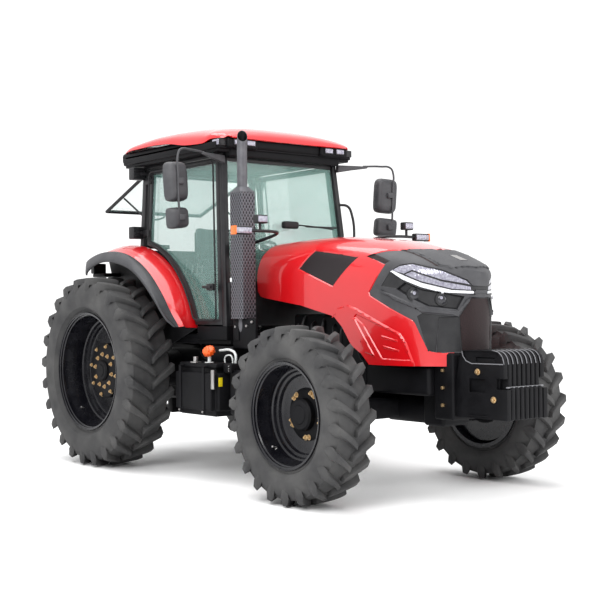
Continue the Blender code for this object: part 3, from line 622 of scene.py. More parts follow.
def hubPiece(kind, end, side):
    # the drum that the disc is bolted to, with its cover
    disc, hub, back, plate = kind["flange"], kind["hubR"], -kind["dish"] - 0.02, kind["plate"]
    face = disc + (0.085 if end == "front" else 0.055)
    profile = [
        (0.0, face), (hub * 0.55, face), (hub * 0.60, face - 0.006), (hub * 0.88, face - 0.008),
        (hub, face - 0.022), (hub, disc + 0.020), (hub + 0.012, disc + 0.016), (plate - 0.02, disc + 0.014),
        (plate, disc + 0.004), (plate, min(disc - 0.020, back + 0.01)), (plate - 0.01, back), (0.0, back),
    ]
    return spun([(r, side * y) for r, y in profile], (0, 0, 0), 64, closed=False)


def nut(radius, height):
    # hexagonal nut with a washer and the stud's end, along +Y
    body = bar((0, 0, 0), (0, height, 0), radius, 6, bevel=radius * 0.12)
    washer = bar((0, -0.002, 0), (0, 0.004, 0), radius * 1.35, 20, bevel=0.001)
    stud = bar((0, height - 0.001, 0), (0, height * 1.6, 0), radius * 0.55, 12, bevel=0.001)
    return merged([body, washer, stud])


def wheelBolts(kind, end, side):
    disc = kind["flange"]
    made = []
    ring = [(kind["boltR"], kind["bolts"], 0.016, disc + 0.014)]
    if kind["lugBolts"]:
        ring.append((kind["lugBoltR"], kind["lugBolts"], 0.020, disc + 0.004))
    for radius, count, size, foot in ring:
        pairs = (-0.11, 0.11) if end == "front" else (0.0,)
        for shift in pairs:
            piece = nut(size, size * 0.9)
            piece.data.transform(Matrix.Translation((radius, foot, 0)))
            if side < 0:
                piece = swapped(piece)
            made.append(around(piece, count // len(pairs), shift + 0.2))
    return merged(made)


def valvePiece(kind, side):
    seat = kind["rimR"] - 0.05
    stem = merged([bar((seat, 0.04, 0), (seat - 0.02, 0.085, 0), 0.008, 12, bevel=0.001),
                   bar((seat + 0.02, 0.03, 0), (seat, 0.045, 0), 0.014, 12, bevel=0.002)])
    stem.data.transform(Matrix.Rotation(2.3, 4, "Y"))
    return stem if side > 0 else swapped(stem)


def wheel(end, side):
    kind = wheelKinds[end]
    label = f"{end}_{'left' if side > 0 else 'right'}"
    body = f"wheel_{label}"
    centre = Vector(joints[f"{body}_spin"]["pos_m"])
    tyre = finished(tyrePiece(kind, centre), f"tyre_{label}_treaded", "tyre", body, "tyre", 40)
    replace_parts(tyre, f"tyre_{label}")
    rim = rimPiece(kind, side)
    hub = hubPiece(kind, end, side)
    for piece in (rim, hub):
        piece.data.transform(Matrix.Translation(centre))
    rim = finished(rim, f"rim_{label}_stepped", "rim", body, "rim", 30)
    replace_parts(rim, f"rim_{label}")
    finished(hub, f"hub_{label}", "cast", body, "black_paint", 30)
    bolts = wheelBolts(kind, end, side)
    valve = valvePiece(kind, side)
    for piece, name, finish in ((bolts, "bolts", "bolt"), (valve, "valve", "steel")):
        piece.data.transform(Matrix.Translation(centre))
        finished(piece, f"{name}_{label}", finish, body, "steel", 30)


for end in ("rear", "front"):
    for side in (1, -1):
        wheel(end, side)
print("wheels made")


# the bonnet is one skin: half widths and ridge heights along it, and how deep its shoulders are
bonnet = {
    "halfWidth": [(1.64, 0.43), (2.4, 0.443), (3.0, 0.445), (3.3, 0.436), (3.5, 0.402), (3.65, 0.333),
                  (3.77, 0.223), (3.84, 0.115)],
    "ridge": [(1.64, 2.05), (1.72, 2.055), (2.33, 2.07), (3.0, 2.015), (3.4, 1.925), (3.62, 1.845),
              (3.79, 1.778), (3.867, 1.735)],
    "shoulder": [(1.64, 0.42), (2.33, 0.42), (3.0, 0.36), (3.4, 0.26), (3.7, 0.14), (3.867, 0.08)],
    "tip": 3.867, "bottom": 1.0, "squareness": 3.0, "columns": 84, "rows": 46, "skin": 0.004, "sliver": 0.0016,
    "start": 1.64, "straightEnd": 3.3, "straightColumns": 46, "finePart": (3.4, 4.15), "fineCut": 0.05,
}


def flowing(points):
    # a smooth line through points that never overshoots them
    places, values = zip(*points)
    slopes = [(b - a) / (q - p) for p, q, a, b in zip(places, places[1:], values, values[1:])]
    tangents = [slopes[0]] + [0 if a * b <= 0 else 2 * a * b / (a + b)
                              for a, b in zip(slopes, slopes[1:])] + [slopes[-1]]

    def value(place):
        place = min(max(place, places[0]), places[-1])
        i = max(k for k in range(len(slopes)) if places[k] <= place)
        step = places[i + 1] - places[i]
        t = (place - places[i]) / step
        return ((2 * t ** 3 - 3 * t ** 2 + 1) * values[i] + (t ** 3 - 2 * t ** 2 + t) * step * tangents[i]
                + (3 * t ** 2 - 2 * t ** 3) * values[i + 1] + (t ** 3 - t ** 2) * step * tangents[i + 1])
    return value


straightEnd = bonnet["straightEnd"]
sideWidth, ridgeHeight = flowing(bonnet["halfWidth"]), flowing(bonnet["ridge"])
shoulderDepth = flowing(bonnet["shoulder"])
roundFrom, roundWidth = bonnet["halfWidth"][-1]


def bonnetHalf(x):
    if x < roundFrom:
        return sideWidth(x)
    return roundWidth * math.sqrt(max(0.0, (bonnet["tip"] - x) / (bonnet["tip"] - roundFrom)))


def bonnetStations():
    # sections get closer round the nose, so that they are even along its outside
    start, count = bonnet["start"], bonnet["straightColumns"]
    flat = [start + (straightEnd - start) * i / count for i in range(count)]
    places, x = [], straightEnd
    while x < roundFrom:
        places.append(x)
        x += 0.001
    places += [bonnet["tip"] - (bonnet["tip"] - roundFrom) * (1 - i / 40) ** 2 for i in range(41)]
    lengths = [straightEnd]
    for a, b in zip(places, places[1:]):
        lengths.append(lengths[-1] + math.hypot(b - a, bonnetHalf(b) - bonnetHalf(a)))
    return flat, places, lengths


flatPart, roundPlaces, roundLengths = bonnetStations()


def alongToX(along):
    return along if along <= straightEnd else float(numpy.interp(along, roundLengths, roundPlaces))


@functools.cache
def xToAlong(x):
    return x if x <= straightEnd else float(numpy.interp(x, roundPlaces, roundLengths))


def bonnetPoint(x, share):
    # share 0 is the ridge, 0.5 the foot of the shoulder, 1 the bottom edge
    half, top = bonnetHalf(x), ridgeHeight(x)
    shoulder = top - shoulderDepth(x)
    power = 2 / bonnet["squareness"]
    if share <= 0.5:
        turn = math.pi * share
        return Vector((x, half * math.sin(turn) ** power,
                       shoulder + (top - shoulder) * math.cos(turn) ** power if share < 0.5 else shoulder))
    z = shoulder + (bonnet["bottom"] - shoulder) * (share - 0.5) * 2
    tuck = 1 - 0.05 * max(0.0, 1.45 - z) / 0.45
    return Vector((x, half * tuck, z))


def bonnetAt(along, z):
    # the skin's point at this distance along its side and this height
    x = alongToX(along)
    low, high = 0.0, 1.0
    for step in range(24):
        middle = (low + high) / 2
        if bonnetPoint(x, middle).z > z:
            low = middle
        else:
            high = middle
    return bonnetPoint(x, low)


def bonnetOutward(along, z):
    ahead = bonnetAt(along + 0.004, z) - bonnetAt(along - 0.004, z)
    up = bonnetAt(along, z + 0.004) - bonnetAt(along, z - 0.004)
    return ahead.cross(up).normalized() * -1


def sideView(place):
    return xToAlong(place.x - axleX), place.z


def topView(place):
    return place.x - axleX, place.y


def insideOutline(spot, outline):
    inside = False
    for (ax, ay), (bx, by) in zip(outline, outline[1:] + outline[:1]):
        if (ay > spot[1]) != (by > spot[1]) and spot[0] < (bx - ax) * (spot[1] - ay) / (by - ay) + ax:
            inside = not inside
    return inside


def editing(piece):
    choose(piece)
    bpy.ops.object.mode_set(mode="EDIT")
    bpy.ops.mesh.select_mode(type="FACE")
    bpy.ops.mesh.select_all(action="DESELECT")


def scored(piece, outline, view=sideView, closed=True):
    # the skin is cut along an outline, one straight plane for each side
    editing(piece)
    ends = outline[1:] + outline[:1] if closed else outline[1:]
    if view is sideView:
        route = []                            # short cuts where the skin curves round the nose
        near, far = bonnet["finePart"]
        for start, end in zip(outline, ends):
            fine = near < max(start[0], end[0]) < far
            count = math.ceil(math.dist(start, end) / bonnet["fineCut"]) if fine else 1
            route += [tuple(a + (b - a) * i / count for a, b in zip(start, end)) for i in range(count)]
        outline = route if closed else route + [outline[-1]]
        ends = outline[1:] + outline[:1] if closed else outline[1:]
    for start, end in zip(outline, ends):
        if view is sideView:
            first, last = bonnetAt(*start), bonnetAt(*end)
            depth = bonnetOutward((start[0] + end[0]) / 2, (start[1] + end[1]) / 2)
        else:
            first, last, depth = Vector((*start, 0)), Vector((*end, 0)), Vector((0, 0, 1))
        plane = (last - first).cross(depth).normalized()
        low = [min(start[i], end[i]) - 0.002 for i in (0, 1)]
        high = [max(start[i], end[i]) + 0.002 for i in (0, 1)]
        mesh = bmesh.from_edit_mesh(piece.data)
        spots = {vertex: view(vertex.co) for vertex in mesh.verts}
        for face in mesh.faces:
            corners = [spots[vertex] for vertex in face.verts]
            face.select_set(all(max(corner[i] for corner in corners) > low[i]
                                and min(corner[i] for corner in corners) < high[i] for i in (0, 1)))
        bmesh.update_edit_mesh(piece.data)
        bpy.ops.mesh.bisect(plane_co=first + Vector((axleX, 0, 0)), plane_no=plane)
        bpy.ops.mesh.select_all(action="DESELECT")
    bpy.ops.mesh.select_all(action="SELECT")
    bpy.ops.mesh.remove_doubles(threshold=bonnet["sliver"])
    bpy.ops.object.mode_set(mode="OBJECT")


def facesIn(piece, test):
    # in edit mode, selects the faces whose middle passes
    mesh = bmesh.from_edit_mesh(piece.data)
    for face in mesh.faces:
        face.select_set(test(face.calc_center_median()))
    bmesh.update_edit_mesh(piece.data)


def coloured(piece, finish):
    # the selected faces take one of the bonnet's finishes
    mesh = bmesh.from_edit_mesh(piece.data)
    for face in mesh.faces:
        if face.select:
            face.material_index = bonnet["finishes"].index(finish)
    bmesh.update_edit_mesh(piece.data)


def removed(piece, test):
    editing(piece)
    facesIn(piece, test)
    bpy.ops.mesh.delete(type="FACE")
    bpy.ops.object.mode_set(mode="OBJECT")


def marked(piece, regions):
    # every face learns which outlines it lies in, before any of them is stepped
    mesh = bmesh.new()
    mesh.from_mesh(piece.data)
    layer = mesh.faces.layers.int.new("panels")
    for face in mesh.faces:
        middle = face.calc_center_median()
        for number, (outline, view, also) in enumerate(regions):
            if insideOutline(view(middle), outline) and (not also or also(middle)):
                face[layer] |= 1 << number
    mesh.to_mesh(piece.data)
    mesh.free()


def panel(piece, number, finish=None, edge=0.0, depth=0.0, ring=None):
    # a marked region stepped in or out and given its own finish
    editing(piece)
    mesh = bmesh.from_edit_mesh(piece.data)
    layer = mesh.faces.layers.int["panels"]
    for face in mesh.faces:
        face.select_set(bool(face[layer] >> number & 1))
    bmesh.update_edit_mesh(piece.data)
    if ring:
        coloured(piece, ring)
    if edge:
        bpy.ops.mesh.inset(thickness=edge, depth=depth, use_boundary=False, use_even_offset=False)
    if finish:
        coloured(piece, finish)
    bpy.ops.object.mode_set(mode="OBJECT")


bonnet["finishes"] = ["red", "grey", "sideMesh", "noseMesh", "lens", "strip", "black", "steel"]
bonnet["hem"] = [(1.70, 1.577), (1.749, 1.563), (2.27, 1.493), (2.70, 1.40), (2.79, 1.32), (2.89, 1.175),
                 (3.0, 1.113), (3.085, 1.03), (4.2, 1.03)]
bonnet["rear"] = [(1.72, 2.2), (1.72, 2.045), (1.685, 2.02), (1.66, 1.90), (1.648, 1.76), (1.66, 1.62),
                  (1.70, 1.577)]
bonnet["noseSide"] = [(3.035, 1.876), (3.254, 1.801), (3.097, 1.592), (3.108, 1.56), (3.524, 1.368),
                      (3.539, 1.348), (3.635, 1.143), (3.757, 1.122), (3.90, 1.13), (4.075, 1.13)]
bonnet["noseTop"] = [(3.035, 0.41), (3.11, 0.387), (3.33, 0.29), (3.40, 0.17), (3.43, 0.0)]
bonnet["panels"] = [
    # outline, finish, edge, depth, finish of its edge
    ([(2.385, 1.957), (2.96, 1.878), (2.728, 1.69), (2.67, 1.638), (2.22, 1.796)], "sideMesh", 0.010, -0.008, None),
    ([(3.035, 1.876), (3.11, 1.894), (3.30, 1.832), (3.258, 1.806)], "noseMesh", 0.004, -0.003, None),
    ([(3.565, 1.405), (3.605, 1.427), (3.88, 1.40), (3.735, 1.392), (3.70, 1.135), (3.64, 1.143)],
     None, 0.004, -0.003, "black"),
    ([(3.735, 1.392), (3.884, 1.40), (3.899, 1.137), (3.705, 1.135)], None, 0.004, -0.003, "black"),
    ([(3.884, 1.40), (3.981, 1.54), (4.2, 1.54), (4.2, 1.135), (3.899, 1.137)], "noseMesh", 0.008, -0.008, "black"),
    ([(3.214, 1.606), (3.342, 1.573), (3.491, 1.517), (3.653, 1.465), (3.88, 1.441), (3.975, 1.545),
      (3.884, 1.403), (3.60, 1.43), (3.574, 1.45), (3.36, 1.526)], None, 0.010, 0.010, None),
    ([(3.32, 1.744), (3.231, 1.637), (3.387, 1.611), (3.464, 1.663)], None, 0.004, -0.003, "black"),
    ([(3.387, 1.611), (3.464, 1.663), (3.607, 1.607), (3.929, 1.55), (3.873, 1.452), (3.653, 1.478),
      (3.491, 1.555)], "black", 0.010, -0.022, "black"),
    ([(3.316, 1.748), (3.405, 1.797), (3.505, 1.810), (3.763, 1.750), (3.952, 1.674), (3.992, 1.632),
      (4.2, 1.632), (4.2, 1.562), (4.005, 1.562), (3.76, 1.573), (3.607, 1.613), (3.438, 1.677)],
     "black", 0.004, -0.004, "black"),
    ([(3.342, 1.760), (3.407, 1.789), (3.505, 1.802), (3.76, 1.742), (3.945, 1.668), (3.978, 1.634),
      (3.76, 1.672), (3.522, 1.752), (3.456, 1.724), (3.385, 1.742)], "lens", 0.003, 0.003, "black"),
    ([(3.456, 1.72), (3.522, 1.745), (3.76, 1.664), (3.978, 1.624), (3.985, 1.594), (3.836, 1.604), (3.607, 1.661)],
     "lens", 0.003, 0.001, "black"),
    ([(3.322, 1.748), (3.345, 1.757), (3.456, 1.712), (3.607, 1.653), (3.836, 1.598), (4.0, 1.59),
      (4.0, 1.566), (3.76, 1.578), (3.607, 1.617), (3.44, 1.681)], "strip", 0.004, 0.008, "strip"),
    ([(4.004, 1.59), (4.2, 1.59), (4.2, 1.567), (4.004, 1.567)], "grey", 0.003, 0.006, None),
]
bonnet["pressings"] = [
    # outline, edge, depth
    ([(2.706, 1.425), (2.73, 1.47), (2.868, 1.494), (2.965, 1.468), (3.416, 1.279), (3.472, 1.202), (3.535, 1.04),
      (3.535, 0.9), (2.6, 0.9), (2.6, 1.38)], 0.014, 0.011),
    ([(2.965, 1.425), (3.336, 1.298), (3.425, 1.238), (3.505, 1.07), (3.229, 1.075), (3.03, 1.34), (2.93, 1.402)],
     0.008, -0.009),
    ([(2.905, 1.39), (2.955, 1.387), (3.16, 1.095), (3.05, 1.122)], 0.008, 0.009),
    ([(3.22, 1.262), (3.39, 1.226), (3.39, 1.208), (3.22, 1.240)], 0.006, 0.007),
    ([(3.24, 1.184), (3.40, 1.152), (3.40, 1.134), (3.24, 1.162)], 0.006, 0.007),
]
bonnet["topPanels"] = [
    ([(3.345, 0.268), (3.41, 0.16), (3.44, -0.1), (3.845, -0.1), (3.765, 0.20), (3.68, 0.262)],
     "grey", 0.010, 0.008, None),
    ([(3.305, 0.297), (3.33, 0.272), (3.69, 0.262), (3.665, 0.284)], "noseMesh", 0.003, -0.002, None),
    ([(3.57, 0.04), (3.57, -0.1), (3.69, -0.1), (3.69, 0.04)], "steel", 0.004, 0.004, None),
]


def bonnetSkin():
    deselect()
    bpy.ops.mesh.primitive_grid_add(x_subdivisions=bonnet["columns"], y_subdivisions=bonnet["rows"], size=1)
    skin = bpy.context.object
    cells = len(flatPart)
    ahead = bonnet["columns"] - cells
    for vertex in skin.data.vertices:
        column = round((vertex.co.x + 0.5) * bonnet["columns"])
        share = vertex.co.y + 0.5
        if column < cells:
            x = flatPart[column]
        else:
            x = alongToX(straightEnd + (roundLengths[-1] - straightEnd) * (column - cells) / ahead)
        vertex.co = bonnetPoint(x, share) + Vector((axleX, 0, 0))
    for finish in bonnet["finishes"]:
        skin.data.materials.append(finishes[finish])
    editing(skin)
    bpy.ops.mesh.select_all(action="SELECT")
    bpy.ops.mesh.remove_doubles(threshold=1e-5)
    bpy.ops.mesh.normals_make_consistent(inside=False)
    mesh = bmesh.from_edit_mesh(skin.data)
    side = min(mesh.faces, key=lambda face: (face.calc_center_median() - at(2.4, 0.44, 1.7)).length)
    if side.normal.y < 0:
        bpy.ops.mesh.flip_normals()
    bpy.ops.object.mode_set(mode="OBJECT")

    # trimmed to its hem, its rear edge and the opening below the nose
    scored(skin, bonnet["hem"], closed=False)
    scored(skin, bonnet["rear"], closed=False)
    scored(skin, bonnet["noseSide"], closed=False)
    scored(skin, [(3.84, 1.0), (3.84, 1.14)], closed=False)
    hem, rear = list(zip(*bonnet["hem"])), list(zip(*sorted((z, x) for x, z in bonnet["rear"])))
    nose = bonnet["noseSide"]

    def offcut(middle):
        along, z = sideView(middle)
        front = along > 3.84 and z < numpy.interp(along, *zip(*nose[-4:]))
        return (z < numpy.interp(along, *hem) or front
                or (along < 1.75 and along < numpy.interp(z, *rear)))
    removed(skin, offcut)

    # the dark nose, then its panels and lamps: all cut first, then stepped one by one
    scored(skin, bonnet["noseTop"], topView, closed=False)
    noseOutline = [(3.035, 2.4)] + nose + [(4.3, 1.13), (4.3, 2.4)]
    topOutline = bonnet["noseTop"] + [(3.43, -0.1), (4.3, -0.1), (4.3, 0.7), (3.035, 0.7)]
    regions = [(noseOutline, sideView, lambda middle: insideOutline(topView(middle), topOutline))]
    steps = [("grey", 0.007, -0.005, None)]
    for outline, finish, edge, depth, ring in bonnet["topPanels"]:
        scored(skin, outline, topView)
        regions.append((outline, topView, lambda middle: middle.z > 1.6))
        steps.append((finish, edge, depth, ring))
    for outline, edge, depth in bonnet["pressings"]:
        scored(skin, outline)
        regions.append((outline, sideView, None))
        steps.append((None, edge, depth, None))
    for outline, finish, edge, depth, ring in bonnet["panels"]:
        scored(skin, outline)
        regions.append((outline, sideView, None))
        steps.append((finish, edge, depth, ring))
    marked(skin, regions)
    for number, (finish, edge, depth, ring) in enumerate(steps):
        panel(skin, number, finish, edge, depth, ring)
    return skin


def bonnetPieces():
    skin = bonnetSkin()
    applied(skin, "MIRROR", use_axis=(False, True, False), merge_threshold=0.0006)
    editing(skin)
    bpy.ops.mesh.select_all(action="SELECT")
    bpy.ops.mesh.separate(type="MATERIAL")
    bpy.ops.object.mode_set(mode="OBJECT")
    names = {"red": "bonnet_panels", "grey": "nose_cowl", "sideMesh": "bonnet_side_meshes",
             "noseMesh": "nose_meshes", "lens": "headlamp_lenses", "strip": "light_strips",
             "black": "headlamp_housings", "steel": "nose_plate"}
    replaced = {"red": "bonnet", "grey": "bonnet_nose", "noseMesh": "grille"}
    slots = {"red": "red_paint", "grey": "grey_plastic", "sideMesh": "grille", "noseMesh": "grille",
             "lens": "glass", "strip": "glass", "black": "grey_plastic", "steel": "steel"}
    for part in list(bpy.context.selected_objects):
        used = part.data.materials[part.data.polygons[0].material_index]
        finish = next(name for name in bonnet["finishes"] if finishes[name] == used)
        applied(part, "SOLIDIFY", thickness=bonnet["skin"], offset=-1)
        finished(part, names[finish], finish, "bonnet", slots[finish], 28)
        if finish in replaced:
            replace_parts(part, replaced[finish])


bonnetPieces()
print("bonnet made")


roof = {
    "length": [-0.14, 1.62], "columns": 48, "rows": 44, "skin": 0.012, "squareness": 2.7,
    "halfWidth": [(-0.14, 0.64), (-0.06, 0.735), (0.15, 0.785), (0.75, 0.80), (1.3, 0.79), (1.52, 0.755),
                  (1.62, 0.66)],
    "crown": [(-0.14, 2.985), (-0.09, 3.03), (0.1, 3.09), (0.6, 3.135), (1.0, 3.135), (1.35, 3.10),
              (1.52, 3.05), (1.595, 3.0), (1.62, 2.955)],
    "edge": [(-0.14, 2.975), (0.1, 2.995), (0.5, 2.995), (0.8, 2.98), (1.1, 2.935), (1.34, 2.925),
             (1.46, 2.955), (1.62, 2.953)],
}


def roofPieces():
    wide, crown, edge = flowing(roof["halfWidth"]), flowing(roof["crown"]), flowing(roof["edge"])
    deselect()
    bpy.ops.mesh.primitive_grid_add(x_subdivisions=roof["columns"], y_subdivisions=roof["rows"], size=1)
    shell = bpy.context.object
    start, end = roof["length"]
    for vertex in shell.data.vertices:
        share = (1 - math.cos(math.pi * (vertex.co.x + 0.5))) / 2
        x = start + (end - start) * share
        across = math.sin(math.pi * vertex.co.y)
        low = edge(x)
        high = max(crown(x), low)
        rise = (1 - abs(across) ** roof["squareness"]) ** (1 / roof["squareness"]) if abs(across) < 1 else 0
        if share > 0.98:
            low = 2.945 if abs(across) < 0.42 else 2.968
        vertex.co = at(x, across * wide(x), low + (high - low) * rise)
    if shell.data.polygons[0].normal.z < 0:
        shell.data.flip_normals()
    applied(shell, "SOLIDIFY", thickness=roof["skin"], offset=-1)
    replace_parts(finished(shell, "roof_cap", "red", "chassis", "red_paint", 50), "roof_shell")


roofFittings = {
    "roof_fascia": ("cast", "grey_plastic", [
        ("block", (-0.09, -0.755, 2.885), (1.45, 0.755, 2.99), 0.03, 3),
        ("block", (1.30, -0.715, 2.875), (1.575, 0.715, 2.985), 0.03, 3),
        ("block", (1.44, -0.635, 2.80), (1.545, 0.635, 2.90), 0.02, 3)],
        [("block", (1.50, 0.36, 2.87), (1.600, 0.69, 2.962), 0.022, 3),
         ("block", (-0.135, 0.36, 2.89), (-0.02, 0.69, 2.965), 0.018, 3)]),
    "roof_lamp_bodies": ("black", "grey_plastic", [], [
        ("block", (1.585, 0.398, 2.893), (1.613, 0.502, 2.946), 0.006),
        ("block", (1.585, 0.533, 2.893), (1.613, 0.637, 2.946), 0.006),
        ("block", (-0.139, 0.41, 2.902), (-0.12, 0.53, 2.953), 0.005),
        ("block", (1.462, 0.69, 2.886), (1.572, 0.764, 2.948), 0.006)]),
    "roof_lamp_lenses": ("lens", "glass", [], [
        ("block", (1.60, 0.406, 2.899), (1.618, 0.494, 2.940), 0.006, 3),
        ("block", (1.60, 0.541, 2.899), (1.618, 0.629, 2.940), 0.006, 3),
        ("block", (-0.1395, 0.42, 2.908), (-0.13, 0.52, 2.947), 0.003, 3),
        ("block", (1.470, 0.72, 2.893), (1.564, 0.771, 2.942), 0.006, 3)]),
}
roofPieces()
fitted(roofFittings)
print("roof made")


fender = {
    "redRadius": [(20, 1.235), (30, 1.165), (45, 1.14), (70, 1.135), (112, 1.13)],
    "lipRadius": [(20, 1.262), (30, 1.172), (45, 1.12), (60, 1.10), (75, 1.075), (95, 1.06), (112, 1.02)],
    "inner": [(0.70, 1.205), (0.745, 1.205), (0.79, 1.196), (0.85, 1.172)], "steps": 46, "skin": 0.010,
    "centre": (0, 0.892),
}


def sweptAbout(profileAt, angles):
    # a section of (y, radius) carried round the rear axle
    rings = []
    for angle in angles:
        turn = math.radians(angle)
        rings.append([at(radius * math.cos(turn), y, fender["centre"][1] + radius * math.sin(turn))
                      for y, radius in profileAt(angle)])
    return loft(rings)


def fenderPieces(side):
    label = "left" if side > 0 else "right"
    red, lip = flowing(fender["redRadius"]), flowing(fender["lipRadius"])
    angles = [20 + 92 * i / fender["steps"] for i in range(fender["steps"] + 1)]
    skin = fender["skin"]

    def redSection(angle):
        edge = red(angle)
        drop = edge - 1.135
        outer = [(y, r + drop * max(0, (y - 0.76) / 0.18)) for y, r in fender["inner"]]
        outer += [(0.885, edge + 0.020), (0.895, edge + 0.010), (0.938, edge)]
        return outer + [(y, r - skin) for y, r in reversed(outer)]

    def lipSection(angle):
        edge, low = red(angle), lip(angle)
        end = min(1.0, (angle - 18) / 6, (116 - angle) / 7)
        wide = 0.935 + 0.095 * max(0.1, end) ** 0.5
        outer = [(0.932, edge + 0.004), (0.95, edge + 0.006), (0.6 * 0.95 + 0.4 * wide, edge + 0.001),
                 (0.25 * 0.95 + 0.75 * wide, (edge + low) / 2), (wide, low), (wide + 0.002, low - 0.018),
                 (wide - 0.004, low - 0.030)]
        return outer + [(wide - 0.018, low - 0.030), (wide - 0.020, low - 0.012),
                        (0.4 * 0.95 + 0.6 * wide, (edge + low) / 2 - 0.014), (0.932, edge - 0.012)]

    def wallSection(angle):
        return [(0.7005, 1.20), (0.7145, 1.20), (0.7145, 0.625), (0.7005, 0.625)]
    made = [(sweptAbout(redSection, angles), "fender_skin", "red", "red_paint"),
            (sweptAbout(lipSection, angles), "fender_lip", "grey", "grey_plastic"),
            (sweptAbout(wallSection, angles), "fender_wall", "black", "grey_plastic")]
    for piece, name, finish, slot in made:
        if side < 0:
            swapped(piece)
        cleaned(piece)
        rounded(piece, 0.002, 1, 60)
        finished(piece, f"{name}_{label}", finish, "chassis", slot, 40)
        if finish == "red":
            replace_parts(piece, f"fender_{label}")


for side in (1, -1):
    fenderPieces(side)
print("fenders made")

exhaust = {"x": 1.812, "y": -0.70, "guard": (0.088, 0.077), "low": 1.385, "shoulder": 2.455, "cap": 2.505,
           "pipe": 0.044}


def superRing(x, y, z, wide, deep, power=9.0, count=48):
    ring = []
    for i in range(count):
        c, s = math.cos(2 * math.pi * i / count), math.sin(2 * math.pi * i / count)
        ring.append(at(x + wide * math.copysign(abs(c) ** (2 / power), c),
                       y + deep * math.copysign(abs(s) ** (2 / power), s), z))
    return ring


def exhaustPieces():
    x, y, radius, low, shoulder, cap = (exhaust[key] for key in ("x", "y", "pipe", "low", "shoulder", "cap"))
    wide, deep = exhaust["guard"]
    guard = loft([superRing(x, y, z, wide, deep)
                  for z in (low, low + 0.004, 1.60, 1.85, 2.10, shoulder - 0.004, shoulder)])
    finished(rounded(guard, 0.003, 2, 60), "exhaust_guard", "guard", "chassis", "exhaust", 40)
    lid = loft([superRing(x, y, shoulder, wide, deep), superRing(x, y, shoulder + 0.006, wide, deep),
                superRing(x, y, cap - 0.01, 0.056, 0.054, 3), superRing(x, y, cap, 0.052, 0.052, 2.5)])

    def tube(rows):
        # rings given by their share of the radius, height, lean and shift
        corners = [(math.cos(math.pi * i / 16), math.sin(math.pi * i / 16)) for i in range(32)]
        return loft([[at(x + radius * k * c + shift, y + radius * k * s,
                         z + lean * (0.85 * c - 0.53 * s) * radius) for c, s in corners]
                     for k, z, lean, shift in rows])
    stack = tube([(1, cap - 0.02, 0, 0), (1, 2.82, 0, 0), (1, 2.88, -0.4, 0.002), (1, 2.935, -1.15, 0.006),
                  (0.97, 2.940, -1.2, 0.007), (0.92, 2.936, -1.2, 0.007), (0.92, 2.84, -0.6, 0.0)])
    rest = placed([("pipe", [(x, y, 1.40), (x, y, 1.30), (x - 0.005, y + 0.05, 1.22), (1.88, -0.55, 1.20),
                             (2.05, -0.30, 1.20)], 0.042, 16, 6)]
                  + [("block", (1.62, -0.655, z), (1.81, -0.62, z + 0.03), 0.003) for z in (1.50, 2.02)])
    tag = block(at(x - 0.078, y - 0.083, 1.70), at(x - 0.052, y - 0.078, 1.735), 0.001)
    finished(tag, "guard_tag", "white", "chassis", "exhaust")
    body = finished(merged([lid, stack, *rest]), "exhaust_pipe", "stack", "chassis", "exhaust", 40)
    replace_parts(body, "exhaust_stack")
    # a liner deep in the mouth; its black is painted shade for the depth of the bore
    bore = tube([(0.94, 2.60, 0, 0), (0.94, 2.84, -0.6, 0), (0.92, 2.934, -1.2, 0.007), (0.86, 2.934, -1.2, 0.007),
                 (0.86, 2.84, -0.6, 0), (0.86, 2.62, 0, 0)])
    finished(bore, "exhaust_bore", "cast", "chassis", "exhaust")


exhaustPieces()
print("exhaust made")

mirror = {
    "arm": [(1.484, 0.655, 2.79), (1.52, 0.80, 2.80), (1.58, 0.95, 2.805)],
    "stem": [(1.56, 0.92, 2.812), (1.61, 1.10, 2.818), (1.632, 1.205, 2.81), (1.638, 1.232, 2.775),
             (1.635, 1.235, 2.60), (1.630, 1.222, 2.22)],
    "heads": [{"size": (0.105, 0.222, 0.335), "centre": (1.566, 1.205, 2.545), "turn": -0.25, "lean": -0.07},
              {"size": (0.105, 0.218, 0.178), "centre": (1.572, 1.195, 2.240), "turn": -0.38, "lean": -0.10}],
}


def padRing(x, dy, dz):
    # a ring like a rounded rectangle, across X
    ring = []
    for i in range(36):
        c, s = math.cos(math.pi * i / 18), math.sin(math.pi * i / 18)
        ring.append(Vector((x, math.copysign(abs(c) ** 0.36, c) * dy, math.copysign(abs(s) ** 0.36, s) * dz)))
    return ring


